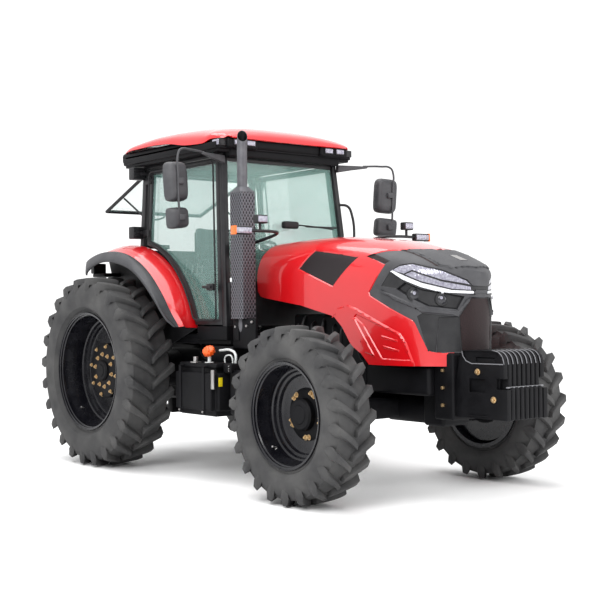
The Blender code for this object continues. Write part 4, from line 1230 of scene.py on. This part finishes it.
def mirrorPieces(side):
    label = "left" if side > 0 else "right"
    wing = []
    for x, y, z in mirror["arm"]:
        share = (y - 0.655) / 0.30
        tall, thick = 0.046 - 0.034 * share, 0.020 - 0.008 * share
        wing.append([at(x - thick, y, z - tall), at(x + thick, y, z - tall), at(x + thick, y, z + tall * 0.5),
                     at(x - thick, y, z + tall * 0.5)])
    parts = [rounded(loft(wing), 0.006, 2, 40), pipe([at(*spot) for spot in mirror["stem"]], 0.0095, 14, 6)]
    faces = []
    for head in mirror["heads"]:
        dx, dy, dz = (size / 2 for size in head["size"])
        centre = at(*head["centre"])
        shell = loft([padRing(x, dy * k, dz * k) for x, k in ((-dx, 0.97), (-dx * 0.6, 1.0), (0, 0.99),
                                                              (dx * 0.55, 0.93), (dx * 0.9, 0.78), (dx, 0.55))])
        glass = loft([padRing(x, dy * 0.9, dz * 0.9) for x in (-dx - 0.003, -dx + 0.004)])
        for piece in (shell, glass):
            piece.data.transform(Matrix.Translation(centre) @ Matrix.Rotation(head["turn"], 4, "Z")
                                 @ Matrix.Rotation(head["lean"], 4, "X"))
        parts.append(shell)
        faces.append(glass)
        x, y, z = head["centre"]
        parts.append(block(at(x + dx - 0.012, y - 0.032, z - 0.028), at(x + dx + 0.026, y + 0.034, z + 0.028),
                           0.012, 3))
    body, glass = merged(parts), merged(faces)
    for piece, name, finish in ((body, "mirror_housing", "grey"), (glass, "mirror_face", "mirror")):
        if side < 0:
            swapped(piece)
        finished(piece, f"{name}_{label}", finish, "chassis", "grey_plastic" if finish == "grey" else "glass", 40)
    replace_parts(body, f"mirror_{label}")


for side in (1, -1):
    mirrorPieces(side)
print("mirrors made")


workLamps = [
    # the way a lamp faces and its two corners
    ("back", (0.112, 0.665, 2.715), (0.197, 0.80, 2.83)), ("back", (0.10, 0.665, 2.15), (0.185, 0.80, 2.265)),
    ("front", (2.20, 0.775, 2.165), (2.265, 0.885, 2.235)), ("front", (2.195, 0.925, 2.070), (2.25, 1.10, 2.138)),
]
workLampArms = [
    ("block", (0.142, 0.60, 2.755), (0.212, 0.72, 2.79), 0.004),
    ("block", (0.13, 0.60, 2.19), (0.20, 0.72, 2.225), 0.004),
    ("bar", (2.225, 0.83, 2.10), (2.225, 0.83, 2.17), 0.012, 12),
    ("pipe", [(1.64, 0.62, 2.0), (1.95, 0.57, 2.06), (2.16, 0.60, 2.10), (2.215, 0.70, 2.105), (2.22, 0.93, 2.105)],
     0.013, 14, 6),
    ("block", (1.58, 0.59, 1.96), (1.66, 0.65, 2.05), 0.005),
]


def lampBox(face, low, high):
    # a work lamp: housing with ribs behind and a lens on one face
    body = [block(low, high, 0.010, 3)]
    front, back, inward = (high[0], low[0], 0.01) if face == "front" else (low[0], high[0], -0.01)
    lens = block((front - 0.006, low[1] + 0.008, low[2] + 0.010), (front + 0.006, high[1] - 0.008, high[2] - 0.010),
                 0.004, 2)
    start, end = sorted((back - inward * 0.8, back + inward))
    for share in (0.25, 0.5, 0.75):
        z = low[2] + (high[2] - low[2]) * share
        body.append(block((start, low[1] + 0.012, z - 0.004), (end, high[1] - 0.012, z + 0.004), 0.002))
    return body, lens


def workLampPieces():
    bodies, lenses = [], []
    for side in (1, -1):
        for face, (x0, y0, z0), (x1, y1, z1) in workLamps:
            low, high = sorted((side * y0, side * y1))
            body, lens = lampBox(face, at(x0, low, z0), at(x1, high, z1))
            bodies += body
            lenses.append(lens)
        bodies += placed(workLampArms, side)
    finished(merged(bodies), "work_lamp_bodies", "black", "chassis", "grey_plastic")
    finished(merged(lenses), "work_lamp_lenses", "lens", "chassis", "glass")


cabTrim = {
    "front_marker_ends": ("amber", "glass", [], [("block", (2.19, 1.086, 2.067), (2.259, 1.104, 2.141), 0.006, 2)]),
    "tail_lamp_bodies": ("black", "grey_plastic", [], [("block", (-0.47, 0.76, 1.83), (-0.40, 0.90, 1.93), 0.012, 3)]),
    "tail_lamp_lenses": ("tail", "glass", [], [("block", (-0.478, 0.768, 1.838), (-0.462, 0.892, 1.922), 0.005, 2)]),
    "grab_rail": ("black", "grey_plastic", [
        ("pipe", [(1.50, 0.665, 2.44), (1.54, 0.735, 2.425), (1.56, 0.765, 2.36), (1.58, 0.78, 2.0),
                  (1.60, 0.785, 1.66), (1.605, 0.76, 1.60), (1.60, 0.70, 1.575)], 0.012, 12, 6)], []),
    "wiper": ("seal", "grey_plastic", [
        ("pipe", [(1.565, -0.03, 2.225), (1.575, 0.13, 2.223), (1.573, 0.33, 2.213), (1.572, 0.52, 2.20)],
         0.0065, 10, 4),
        ("block", (1.535, -0.07, 2.19), (1.60, 0.10, 2.255), 0.02, 3),
        ("block", (1.556, 0.20, 2.208), (1.566, 0.58, 2.222), 0.003)], []),
    "rear_window_frame": ("seal", "grey_plastic", [
        ("pipe", [(-0.69, 0.58, 2.479), (0.10, 0.60, 2.779), (0.10, -0.60, 2.779), (-0.69, -0.58, 2.479),
                  (-0.69, 0.58, 2.479)], 0.019, 12),
        ("pipe", [(-0.66, -0.1, 2.462), (-0.69, -0.1, 2.44), (-0.69, 0.1, 2.44), (-0.66, 0.1, 2.462)], 0.010, 12, 4)],
        [("bar", (0.15, 0.57, 2.30), (-0.35, 0.575, 2.585), 0.009, 12)]),
}
workLampPieces()
fitted(cabTrim)
print("lamps and cab trim made")


door = {"half": 0.74, "sill": 1.32, "lean": math.tan(math.radians(3.4)), "thick": 0.04, "arc": 1.262,
        "corners": [(1.517, 1.372), (1.372, 2.775), (0.315, 2.775)], "seal": 0.008, "handle": (1.425, 1.66)}


def onDoor(side, x, z, out):
    # a point on a cab side, that far outside its inner face
    return at(x, side * (door["half"] + out - (z - door["sill"]) * door["lean"]), z)


def doorTrim(side):
    label = "left" if side > 0 else "right"
    arc = [(door["arc"] * math.cos(math.radians(turn)), 0.892 + door["arc"] * math.sin(math.radians(turn)))
           for turn in (74, 65, 56, 47, 38, 30, 23.5)]
    foot, *head = door["corners"]
    route = [(1.44, 2.11), *head, *arc, (1.20, 1.372), foot, (1.44, 2.11)]
    seal = pipe([onDoor(side, x, z, door["thick"] + 0.001) for x, z in loopRounded(route, 0.05)], door["seal"], 8)
    finished(seal, f"door_seal_{label}", "seal", f"door_{label}", "grey_plastic")
    x, z = door["handle"]
    handle = merged([block((x - 0.05, -0.012, -0.03), (x + 0.05, 0.020, 0.03), 0.008, 2),
                     block((x - 0.095, 0.018, -0.012), (x + 0.035, 0.034, 0.012), 0.007, 2),
                     bar((x + 0.025, 0.0, 0.0), (x + 0.025, 0.038, 0.0), 0.013, 16, bevel=0.002)])
    handle.data.transform(Matrix.Translation(onDoor(1, 0, z, 0)) @ Matrix.Rotation(math.radians(3.4), 4, "X")
                          @ Matrix.Translation((0, door["thick"] + 0.004, 0)))
    if side < 0:
        swapped(handle)
    finished(handle, f"door_handle_{label}", "black", f"door_{label}", "grey_plastic")


def loopRounded(points, radius, steps=4):
    # the route with its corners turned into short arcs
    out = [points[0]]
    for before, here, after in zip(points, points[1:], points[2:]):
        a, b, c = Vector((*before, 0)), Vector((*here, 0)), Vector((*after, 0))
        reach = min(radius, (a - b).length * 0.45, (c - b).length * 0.45)
        start, end = b + (a - b).normalized() * reach, b + (c - b).normalized() * reach
        for i in range(steps + 1):
            t = i / steps
            spot = start * (1 - t) ** 2 + b * 2 * t * (1 - t) + end * t ** 2
            out.append((spot.x, spot.y))
    return out + [points[-1]]


for side in (1, -1):
    doorTrim(side)
print("door trim made")

tankStraps = [1.27, 1.625]
tank = {
    "tank_straps_and_brackets": ("cast", "black_paint", [
        ("block", (1.20, -0.955, 0.97), (1.76, -0.50, 1.012), 0.012, 3),
        ("block", (1.30, -0.74, 1.0), (1.70, -0.48, 1.15), 0.02, 3),
        ("block", (1.785, -0.90, 0.935), (1.90, -0.66, 1.012), 0.010, 3),
        ("block", (1.70, -0.735, 1.13), (2.02, -0.70, 1.392), 0.012, 3),
        ("block", (1.72, -0.745, 1.20), (1.80, -0.73, 1.37), 0.006, 2),
        *[("block", (x - 0.018, -0.998, 0.575), (x + 0.018, -0.985, 0.985), 0.004) for x in tankStraps],
        *[("block", (x - 0.018, -0.998, 0.975), (x + 0.018, -0.46, 0.989), 0.004) for x in tankStraps],
        *[("pipe", [(1.0 + 0.12 * i, -0.56, 1.16), (1.02 + 0.13 * i, -0.60, 1.08), (1.10 + 0.12 * i, -0.55, 1.0),
                    (1.2 + 0.1 * i, -0.45, 0.92)], 0.011, 10, 5) for i in range(4)]], []),
    "tank_gauge_and_bolts": ("steel", "steel", [
        ("block", (1.385, -0.965, 1.008), (1.475, -0.90, 1.020), 0.003),
        ("bar", (1.43, -0.935, 1.018), (1.43, -0.935, 1.062), 0.024, 6, 0.003),
        ("block", (1.742, -0.999, 0.797), (1.786, -0.985, 0.96), 0.004, 2),
        *[("bar", (x, -0.998, 0.60), (x, -1.008, 0.60), 0.010, 6) for x in tankStraps],
        *[("bar", (x, -0.73, z), (x, -0.752, z), 0.012, 6, 0.002)
          for x, z in ((1.754, 1.318), (1.912, 1.326), (1.985, 1.36))],
        *[("bar", (1.875, -0.898, z), (1.875, -0.908, z), 0.006, 8) for z in (0.952, 0.972, 0.992)]], []),
    "tank_pipes": ("white", "grey_plastic", [
        ("bar", (1.585, -0.90, 1.0), (1.595, -0.905, 1.09), 0.015, 16),
        ("bar", (1.585, -0.90, 1.008), (1.585, -0.90, 1.020), 0.040, 24, 0.003),
        ("pipe", [(1.60, -0.80, 1.114), (1.766, -0.80, 1.119), (1.826, -0.80, 1.088), (1.826, -0.80, 1.0)],
         0.0115, 12, 6),
        ("pipe", [(1.676, -0.80, 1.0), (1.676, -0.80, 1.055), (1.727, -0.80, 1.077), (1.776, -0.80, 1.065),
                  (1.79, -0.80, 1.0)], 0.0075, 10, 6)], []),
}
tankCap = {"centre": (1.60, -0.915, 1.112), "radius": 0.052, "faces": (0.30, -0.62, 0.72), "grips": 12}


def capAndLabel():
    # screw cap with a grip bar and a ribbed rim, tilted outwards
    r = tankCap["radius"]
    lid = bar((0, -0.022, 0), (0, 0.024, 0), r * 0.93, 36, bevel=0.008)
    grips = around(block((r * 0.86, -0.020, -0.007), (r * 1.05, 0.019, 0.007), 0.003), tankCap["grips"])
    cap = merged([lid, block((-r * 0.72, 0.018, -0.010), (r * 0.72, 0.036, 0.010), 0.006, 2), grips])
    turn = Vector((0, 1, 0)).rotation_difference(Vector(tankCap["faces"]).normalized()).to_matrix().to_4x4()
    cap.data.transform(Matrix.Translation(at(*tankCap["centre"])) @ turn)
    finished(cap, "tank_cap", "orange", "chassis", "grey_plastic")
    label = block(at(1.779, -0.945, 0.818), at(1.786, -0.905, 0.894), 0.002)
    finished(label, "tank_label", "yellow", "chassis", "grey_plastic")


fitted(tank)
capAndLabel()
print("tank fittings made")

weights = {
    "outline": [(3.80, 0.66), (3.80, 0.93), (3.842, 1.11), (3.868, 1.152), (4.15, 1.157), (4.205, 1.146),
                (4.243, 1.112), (4.258, 1.06), (4.258, 0.905), (4.288, 0.885), (4.288, 0.66)],
    "count": 9, "pitch": 0.05, "thick": 0.043,
    "lip": [(3.862, 1.146), (3.872, 1.111), (3.904, 1.075), (3.957, 1.058), (4.255, 1.060)],
    "pocket": [(3.872, 1.148), (3.880, 1.116), (3.909, 1.082), (3.960, 1.066), (4.245, 1.068), (4.236, 1.105),
               (4.202, 1.138), (4.15, 1.149)],
    "holes": [((3.985, 1.074), (4.165, 1.105)), ((3.93, 0.85), (4.085, 0.95)), ((4.19, 0.88), (4.30, 0.955))],
    "bolts": [(4.016, 0.999), (4.166, 0.804)], "carrierBolts": (0.74, 0.87, 1.0),
}


def carved(piece, cutters):
    cutter = merged(cutters)
    applied(piece, "BOOLEAN", operation="DIFFERENCE", object=cutter, solver="EXACT")
    bpy.data.objects.remove(cutter)
    return piece


def weightPieces():
    slabs, gold, worn = [], [], []
    half, pitch, last = weights["thick"] / 2, weights["pitch"], weights["count"] - 1
    outline, pocket = ([(at(x, 0, z).x, z) for x, z in weights[name]] for name in ("outline", "pocket"))
    for i in range(last + 1):
        y = (i - last / 2) * pitch
        outer = i in (0, last)
        weight = slab(outline, y - half, y + half, 0.0 if outer else 0.009, 2)
        if outer:                             # the outside faces are cast with a pocket, a lip and openings
            side = 1 if y > 0 else -1
            face = y + side * half
            low, high = sorted((face - side * 0.012, face + side * 0.02))
            carved(weight, [block(at(x0, y - 0.06, z0), at(x1, y + 0.06, z1), 0.0)
                            for (x0, z0), (x1, z1) in weights["holes"]])
            carved(weight, [slab(pocket, low, high)])
            rounded(weight, 0.004, 2, 40)
            # the lip is real shape; its light grey is a painted highlight
            worn.append(pipe([at(x, face, z) for x, z in weights["lip"]], 0.0042, 8))
            for x, z in weights["bolts"]:
                gold += placed([("bar", (x, face - side * 0.01, z), (x, face + side * 0.007, z), 0.024, 24, 0.002),
                                ("bar", (x, face + side * 0.005, z), (x, face + side * 0.022, z), 0.015, 6, 0.002)])
            slabs += placed([("block", (3.92, face - side * 0.01, 0.675), (4.12, face + side * 0.006, 0.685), 0.003)])
        # a light strip along each slab's top arc: a painted highlight
        worn.append(pipe([at(x - 0.002, y - half + 0.006, z - 0.001) for x, z in weights["outline"][4:8]],
                         0.0042, 8, 3))
        slabs.append(weight)
    slabs.append(block(at(3.802, -0.20, 0.70), at(4.20, 0.20, 1.10), 0.004))
    # a light strip on the front ledge: a painted highlight
    worn.append(block(at(4.258, -0.2, 0.888), at(4.272, 0.2, 0.900), 0.003))
    for side in (1, -1):
        gold += placed([("bar", (3.70, 0.245, z), (3.70, 0.268, z), 0.014, 6, 0.002) for z in weights["carrierBolts"]],
                       side)
    finished(merged(worn), "weight_painted_highlights", "worn", "chassis", "black_paint", 40)
    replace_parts(finished(merged(slabs), "front_weight_slabs", "cast", "chassis", "black_paint", 40), "front_weights")
    finished(merged(gold), "weight_bolts", "bolt", "chassis", "steel")


weightPieces()
print("weights made")

projectors = {"spots": [(3.530, 0.368, 1.568, 0.048), (3.705, 0.262, 1.530, 0.042)]}


def projectorLamps():
    lenses, rings, painted_glints = [], [], []
    for side in (1, -1):
        for x, y, z, r in projectors["spots"]:
            aim = Vector((0.86, side * 0.5, 0.02)).normalized()
            spot = at(x, side * y, z)
            rings.append(bar(spot - aim * 0.05, spot + aim * 0.006, r * 1.22, 28, bevel=0.004))
            dome = spun([(0.0, 0.016), (r * 0.5, 0.014), (r * 0.8, 0.008), (r, -0.002), (r, -0.02), (0.0, -0.02)],
                        (0, 0, 0), 28, False)
            turn = Vector((0, 1, 0)).rotation_difference(aim).to_matrix().to_4x4()
            dome.data.transform(Matrix.Translation(spot) @ turn)
            lenses.append(dome)
            # a small light disc in front of each smoked lens is a painted highlight
            glint = spot + Vector((0, side * 0.012, 0.010))
            painted_glints.append(bar(glint + aim * 0.012, glint + aim * 0.018, r * 0.28, 20, bevel=0.002))
    finished(merged(rings), "projector_rings", "black", "bonnet", "grey_plastic")
    finished(merged(lenses), "projector_lenses", "smoke", "bonnet", "glass")
    finished(merged(painted_glints), "projector_painted_highlights", "lens", "bonnet", "glass")


projectorLamps()
print("projector lamps made")

seat = {
    "cushion": ((0.425, -0.235, 1.565), (0.905, 0.235, 1.662)), "back": ((0.355, -0.215, 1.66), (0.445, 0.215, 2.265)),
    "cushionSeams": [(1, 0.55), (1, -0.55), (0, 0.15), (0, -0.45)],
    "backSeams": [(1, 0.5), (1, -0.5), (2, 0.45), (2, 0.0), (2, -0.45)],
    "bulge": 0.0098, "voxel": 0.009, "frames": 20, "pressure": 4.0, "crown": 0.018, "seamDepth": 0.011,
    "seamWidth": 0.035, "fill": 0.7,
}
seatBase = {
    "seat_base": ("black", "grey_plastic", [
        ("block", (0.45, -0.19, 1.27), (0.86, 0.19, 1.34), 0.012, 3),
        ("block", (0.44, -0.20, 1.50), (0.88, 0.20, 1.56), 0.014, 3),
        ("block", (0.335, -0.20, 1.56), (0.358, 0.20, 2.22), 0.012, 3),
        *[("block", (0.49 + 0.005 * (i % 2), -0.15, 1.335 + i * 0.028),
           (0.83 - 0.005 * (i % 2), 0.15, 1.361 + i * 0.028), 0.010, 2) for i in range(6)]],
        [("block", (0.44, 0.262, 1.83), (0.80, 0.318, 1.875), 0.018, 3),
         ("bar", (0.42, 0.27, 1.66), (0.46, 0.29, 1.84), 0.016, 12)]),
}


def cushionForm(low, high, axis, name, seams):
    # a crowned closed pad, filled out with cloth under pressure, then sewn
    pad = block(at(*low), at(*high), 0.022, 3)
    choose(pad)
    bpy.ops.object.mode_set(mode="EDIT")
    bpy.ops.mesh.select_all(action="SELECT")
    bpy.ops.mesh.subdivide(number_cuts=4)
    bpy.ops.object.mode_set(mode="OBJECT")
    middle = (at(*low) + at(*high)) / 2
    reach = (at(*high) - at(*low)) / 2
    crown = seat["crown"]
    for vertex in pad.data.vertices:
        away = [(vertex.co[i] - middle[i]) / reach[i] for i in range(3)]
        others = [i for i in range(3) if i != axis]
        dome = max(0.0, 1 - away[others[0]] ** 2) * max(0.0, 1 - away[others[1]] ** 2)
        if away[axis] > 0.2:
            vertex.co[axis] += crown * dome
        for i in others:                                    # the sides pull in between the corners
            other = others[1] if i == others[0] else others[0]
            vertex.co[i] -= math.copysign(0.010, away[i]) * abs(away[i]) ** 4 * (1 - away[other] ** 2)
    applied(pad, "REMESH", mode="VOXEL", voxel_size=seat["voxel"])
    start = [vertex.co.copy() for vertex in pad.data.vertices]
    choose(pad)
    cloth = pad.modifiers.new("Cloth", "CLOTH")
    cloth.settings.use_pressure = True
    cloth.settings.uniform_pressure_force = seat["pressure"]
    cloth.settings.effector_weights.gravity = 0
    cloth.point_cache.frame_start, cloth.point_cache.frame_end = 1, seat["frames"]
    for step in range(1, seat["frames"] + 1):
        bpy.context.scene.frame_set(step)
    bpy.ops.object.modifier_apply(modifier="Cloth")
    bpy.context.scene.frame_set(1)
    for vertex, before in zip(pad.data.vertices, start):
        moved = vertex.co - before
        if moved.length > seat["bulge"]:
            vertex.co = before + moved.normalized() * seat["bulge"]
    for vertex in pad.data.vertices:
        away = [(vertex.co[i] - middle[i]) / reach[i] for i in range(3)]
        if away[axis] > 0.3:
            others = [i for i in range(3) if i != axis]
            groove = max(math.exp(-((away[way] - place) / seat["seamWidth"]) ** 2) for way, place in seams)
            vertex.co[axis] -= seat["seamDepth"] * groove * (1 - abs(away[others[0]]) ** 6)
    applied(pad, "SMOOTH", factor=0.5, iterations=2)
    applied(pad, "SUBSURF", levels=1, render_levels=1)
    finished(pad, name, "cloth", "chassis", "cloth", 80)
    return pad


def seatPieces():
    cushion = cushionForm(*seat["cushion"], 2, "seat_cushion", seat["cushionSeams"])
    cushionForm(*seat["back"], 0, "seat_backrest", seat["backSeams"])
    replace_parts(cushion, "seat")


seatPieces()
fitted(seatBase)
print("seat made")

controls = {"levers": [(0.62, -0.42), (0.70, -0.42), (0.78, -0.42), (0.66, -0.52), (0.76, -0.52)],
            "knob": [(0.0, 0.022), (0.013, 0.018), (0.018, 0.0), (0.013, -0.016), (0.0, -0.022)]}
pedals = [("bar", (1.40, 0.20, 1.30), (1.30, 0.20, 1.34), 0.012, 10),
          ("block", (1.26, 0.16, 1.32), (1.33, 0.24, 1.34), 0.008)]


def controlPieces():
    stems, knobs = [], []
    for i, (x, y) in enumerate(controls["levers"]):
        top = at(x + 0.02, y, 1.90 + 0.02 * (i % 2))
        stems.append(bar(at(x, y, 1.78), top, 0.006, 10))
        knobs.append(spun(controls["knob"], (0, 0, 0), 16, False))
        knobs[-1].data.transform(Matrix.Translation(top) @ Matrix.Rotation(math.pi / 2, 4, "X"))
    for side in (1, -1):
        stem, pad = placed(pedals, side)
        stems.append(stem)
        knobs.append(pad)
    finished(merged(stems), "control_stems", "steel", "chassis", "steel")
    finished(merged(knobs), "control_knobs", "black", "chassis", "grey_plastic")
    screen = block(at(1.222, -0.15, 1.795), at(1.232, 0.15, 1.895), 0.004)
    finished(screen, "instrument_panel", "seal", "chassis", "grey_plastic")


controlPieces()
print("controls made")


couplers = {"across": (-0.235, -0.14, 0.14, 0.235), "up": (1.47, 1.57),
            "cap": [(0.0, 0.012), (0.022, 0.010), (0.027, 0.0), (0.024, -0.012), (0.0, -0.012)]}
rear = {
    "rear_brackets": ("cast", "black_paint", [
        *[("block", (0.148, -0.60, 1.36 + 0.13 * i), (0.164, 0.60, 1.395 + 0.13 * i), 0.006, 2) for i in range(5)],
        ("block", (0.06, -0.27, 1.42), (0.150, 0.27, 1.62), 0.012, 3),
        ("block", (-0.52, -0.17, 0.815), (-0.315, 0.17, 0.830), 0.004)],       # shield over the power take-off
        [("block", (-0.43, 0.70, 1.795), (-0.20, 0.90, 1.83), 0.010, 3),
         ("block", (0.115, 0.36, 2.06), (0.150, 0.62, 2.10), 0.008, 2),
         ("block", (-0.52, 0.157, 0.70), (-0.315, 0.17, 0.825), 0.004),
         ("block", (-0.42, 0.035, 0.92), (-0.31, 0.055, 1.09), 0.006)]),       # top link's bracket
    "rear_couplers": ("steel", "steel", [
        *[("bar", (0.07, y, z), (0.02, y, z - 0.004), 0.020, 20, 0.002) for y in couplers["across"]
          for z in couplers["up"]],
        *[("bar", (0.025, y, z - 0.002), (0.012, y, z - 0.004), 0.026, 6, 0.002) for y in couplers["across"]
          for z in couplers["up"]]],
        [*[("pipe", [(0.10, y, 1.43), (0.10, y, 1.37), (0.04, y + 0.03, 1.33), (0.0, y + 0.03, 1.30)], 0.009, 10, 5)
           for y in (0.14, 0.235)],
         *[("bar", (-0.318, 0.20, z), (-0.336, 0.20, z), 0.014, 6, 0.002) for z in (0.66, 0.76, 0.90, 1.05)]]),
}


def couplerCaps():
    caps = []
    for y in couplers["across"]:
        for z in couplers["up"]:
            caps.append(spun(couplers["cap"], (0, 0, 0), 24, False))
            caps[-1].data.transform(Matrix.Translation(at(0.002, y, z - 0.005)) @ Matrix.Rotation(math.pi / 2, 4, "Z"))
    finished(merged(caps), "rear_coupler_caps", "orange", "chassis", "grey_plastic")


fitted(rear)
couplerCaps()
print("rear fittings made")


enginePipes = [(2.02, 1.34, 2.16, 0.98), (2.12, 1.40, 2.10, 1.02), (2.24, 1.36, 2.34, 1.05),
               (2.36, 1.38, 2.30, 0.92), (2.50, 1.34, 2.62, 1.0), (2.64, 1.36, 2.60, 0.96), (2.76, 1.30, 2.84, 1.04)]
engineFilters = [(2.20, 1.16, 0.048), (2.46, 1.14, 0.054)]


def pipeRow(i, x0, z0, x1, z1):
    # one pipe down the engine's side, every third one further out
    out = 0.285 + 0.012 * (i % 3)
    return ("pipe", [(x0, 0.262, z0), (x0 + 0.01, out, z0 - 0.03), ((x0 + x1) / 2, out + 0.012, (z0 + z1) / 2),
                     (x1 - 0.01, out, z1 + 0.03), (x1, 0.262, z1)], 0.010 + 0.003 * (i % 2), 10, 6)


engine = {
    "engine_pipes": ("black", "black_paint", [], [
        *[pipeRow(i, *route) for i, route in enumerate(enginePipes)],
        *[("bar", (x, 0.325, z - 0.09), (x, 0.325, z + 0.07), r, 28, 0.010) for x, z, r in engineFilters],
        *[("block", (x - 0.04, 0.262, z + 0.08), (x + 0.04, 0.33, z + 0.11), 0.006) for x, z, r in engineFilters],
        ("block", (2.03, 0.262, 0.74), (2.84, 0.284, 0.90), 0.010, 3)]),
    "engine_bolts": ("steel", "steel", [], [
        *[("bar", (x, 0.325, z + 0.066), (x, 0.325, z + 0.085), r * 0.8, 28, 0.003) for x, z, r in engineFilters],
        *[("bar", (2.07 + 0.09 * i, 0.282, 0.82), (2.07 + 0.09 * i, 0.292, 0.82), 0.010, 6, 0.0015)
          for i in range(9)]]),
}
fitted(engine)
print("engine fittings made")


softEdges = {
    "engine_block": (0.012, "cast"), "rear_axle_housing": (0.012, "cast"), "front_axle": (0.010, "cast"),
    "front_support": (0.010, "cast"), "weight_carrier": (0.008, "cast"), "knuckle_left": (0.010, "cast"),
    "knuckle_right": (0.010, "cast"), "lift_arms": (0.004, "cast"), "lower_link_left": (0.003, "cast"),
    "lower_link_right": (0.003, "cast"), "drawbar": (0.005, "cast"), "cab_floor": (0.006, "cast"),
    "cab_frame": (0.005, "black"), "side_console": (0.010, "black"), "dashboard": (0.010, "black"),
    "battery_box": (0.010, "cast"), "steps": (0.003, "cast"),
    "door_left": (0.005, "black"), "door_right": (0.005, "black"), "roof_liner": (0.006, "cast"),
    "tie_rod": (0.002, "steel"), "top_link": (0.002, "steel"), "lift_rod_left": (0.002, "steel"),
    "lift_rod_right": (0.002, "steel"), "steering_wheel": (0.0015, "black"), "fuel_tank": (0.012, "cast"),
}
for node, (width, finish) in softEdges.items():
    softened(node, width, finish)
for node, finish in {"windscreen": "frontGlass", "rear_window": "frontGlass", "door_glass_left": "glass",
                     "door_glass_right": "glass", "pto_shaft": "steel"}.items():
    keepNode(node, finish)
print("frame nodes finished")


def stage():
    deselect()
    bpy.ops.mesh.primitive_plane_add(size=60, location=(0, 0, -0.002))
    floor = bpy.context.object
    floor.name = "floor"
    ground = Finish("pale floor", (0.97, 0.97, 0.97), 0.9)
    ground.set("Roughness", 0.85 + ground.noise(0.8, 2) * 0.1)
    floor.data.materials.append(ground.material)
    world = bpy.data.worlds.new("studio")
    bpy.context.scene.world = world
    world.use_nodes = True
    world.node_tree.nodes["Background"].inputs["Color"].default_value = (1.0, 1.0, 1.0, 1)
    world.node_tree.nodes["Background"].inputs["Strength"].default_value = 1.0


lamps = {
    "key": {"place": (5.0, -7.5, 7.0), "size": 5.0, "power": 420},
    "fill": {"place": (8.5, 4.0, 3.5), "size": 5.0, "power": 160},
    "top": {"place": (-1.0, -1.0, 9.0), "size": 7.0, "power": 380},
}


lampAim = (0.3, 0, 1.2)


def light(name, place, size, power):
    lamp = bpy.data.lights.new(name, "AREA")
    lamp.energy, lamp.size = power, size
    holder = bpy.data.objects.new(name, lamp)
    bpy.context.collection.objects.link(holder)
    holder.location = place
    holder.rotation_euler = (Vector(lampAim) - Vector(place)).to_track_quat("-Z", "Y").to_euler()


cameraSetup = {
    "place": (9.7536, -6.5707, 1.4884), "yaw": 2.4842, "pitch": -0.0029, "roll": -0.0096,
    "lens": 69.68, "shiftX": 0.0539, "shiftY": 0.0164,
}


def camera():
    setup = cameraSetup
    lens = bpy.data.cameras.new("camera")
    lens.lens, lens.sensor_width = setup["lens"], 36.0
    lens.shift_x, lens.shift_y = setup["shiftX"], setup["shiftY"]
    holder = bpy.data.objects.new("camera", lens)
    bpy.context.collection.objects.link(holder)
    look = Vector((math.cos(setup["pitch"]) * math.cos(setup["yaw"]),
                   math.cos(setup["pitch"]) * math.sin(setup["yaw"]), math.sin(setup["pitch"])))
    turn = look.to_track_quat("-Z", "Y").to_matrix().to_4x4()
    holder.matrix_world = (Matrix.Translation(at(*setup["place"])) @ turn
                           @ Matrix.Rotation(setup["roll"], 4, "Z"))
    bpy.context.scene.camera = holder


bpy.context.scene.view_settings.view_transform = "Standard"
bpy.context.scene.view_settings.look = "Medium High Contrast"
stage()
for name, lamp in lamps.items():
    light(name, **lamp)
camera()
print("stage and camera set")
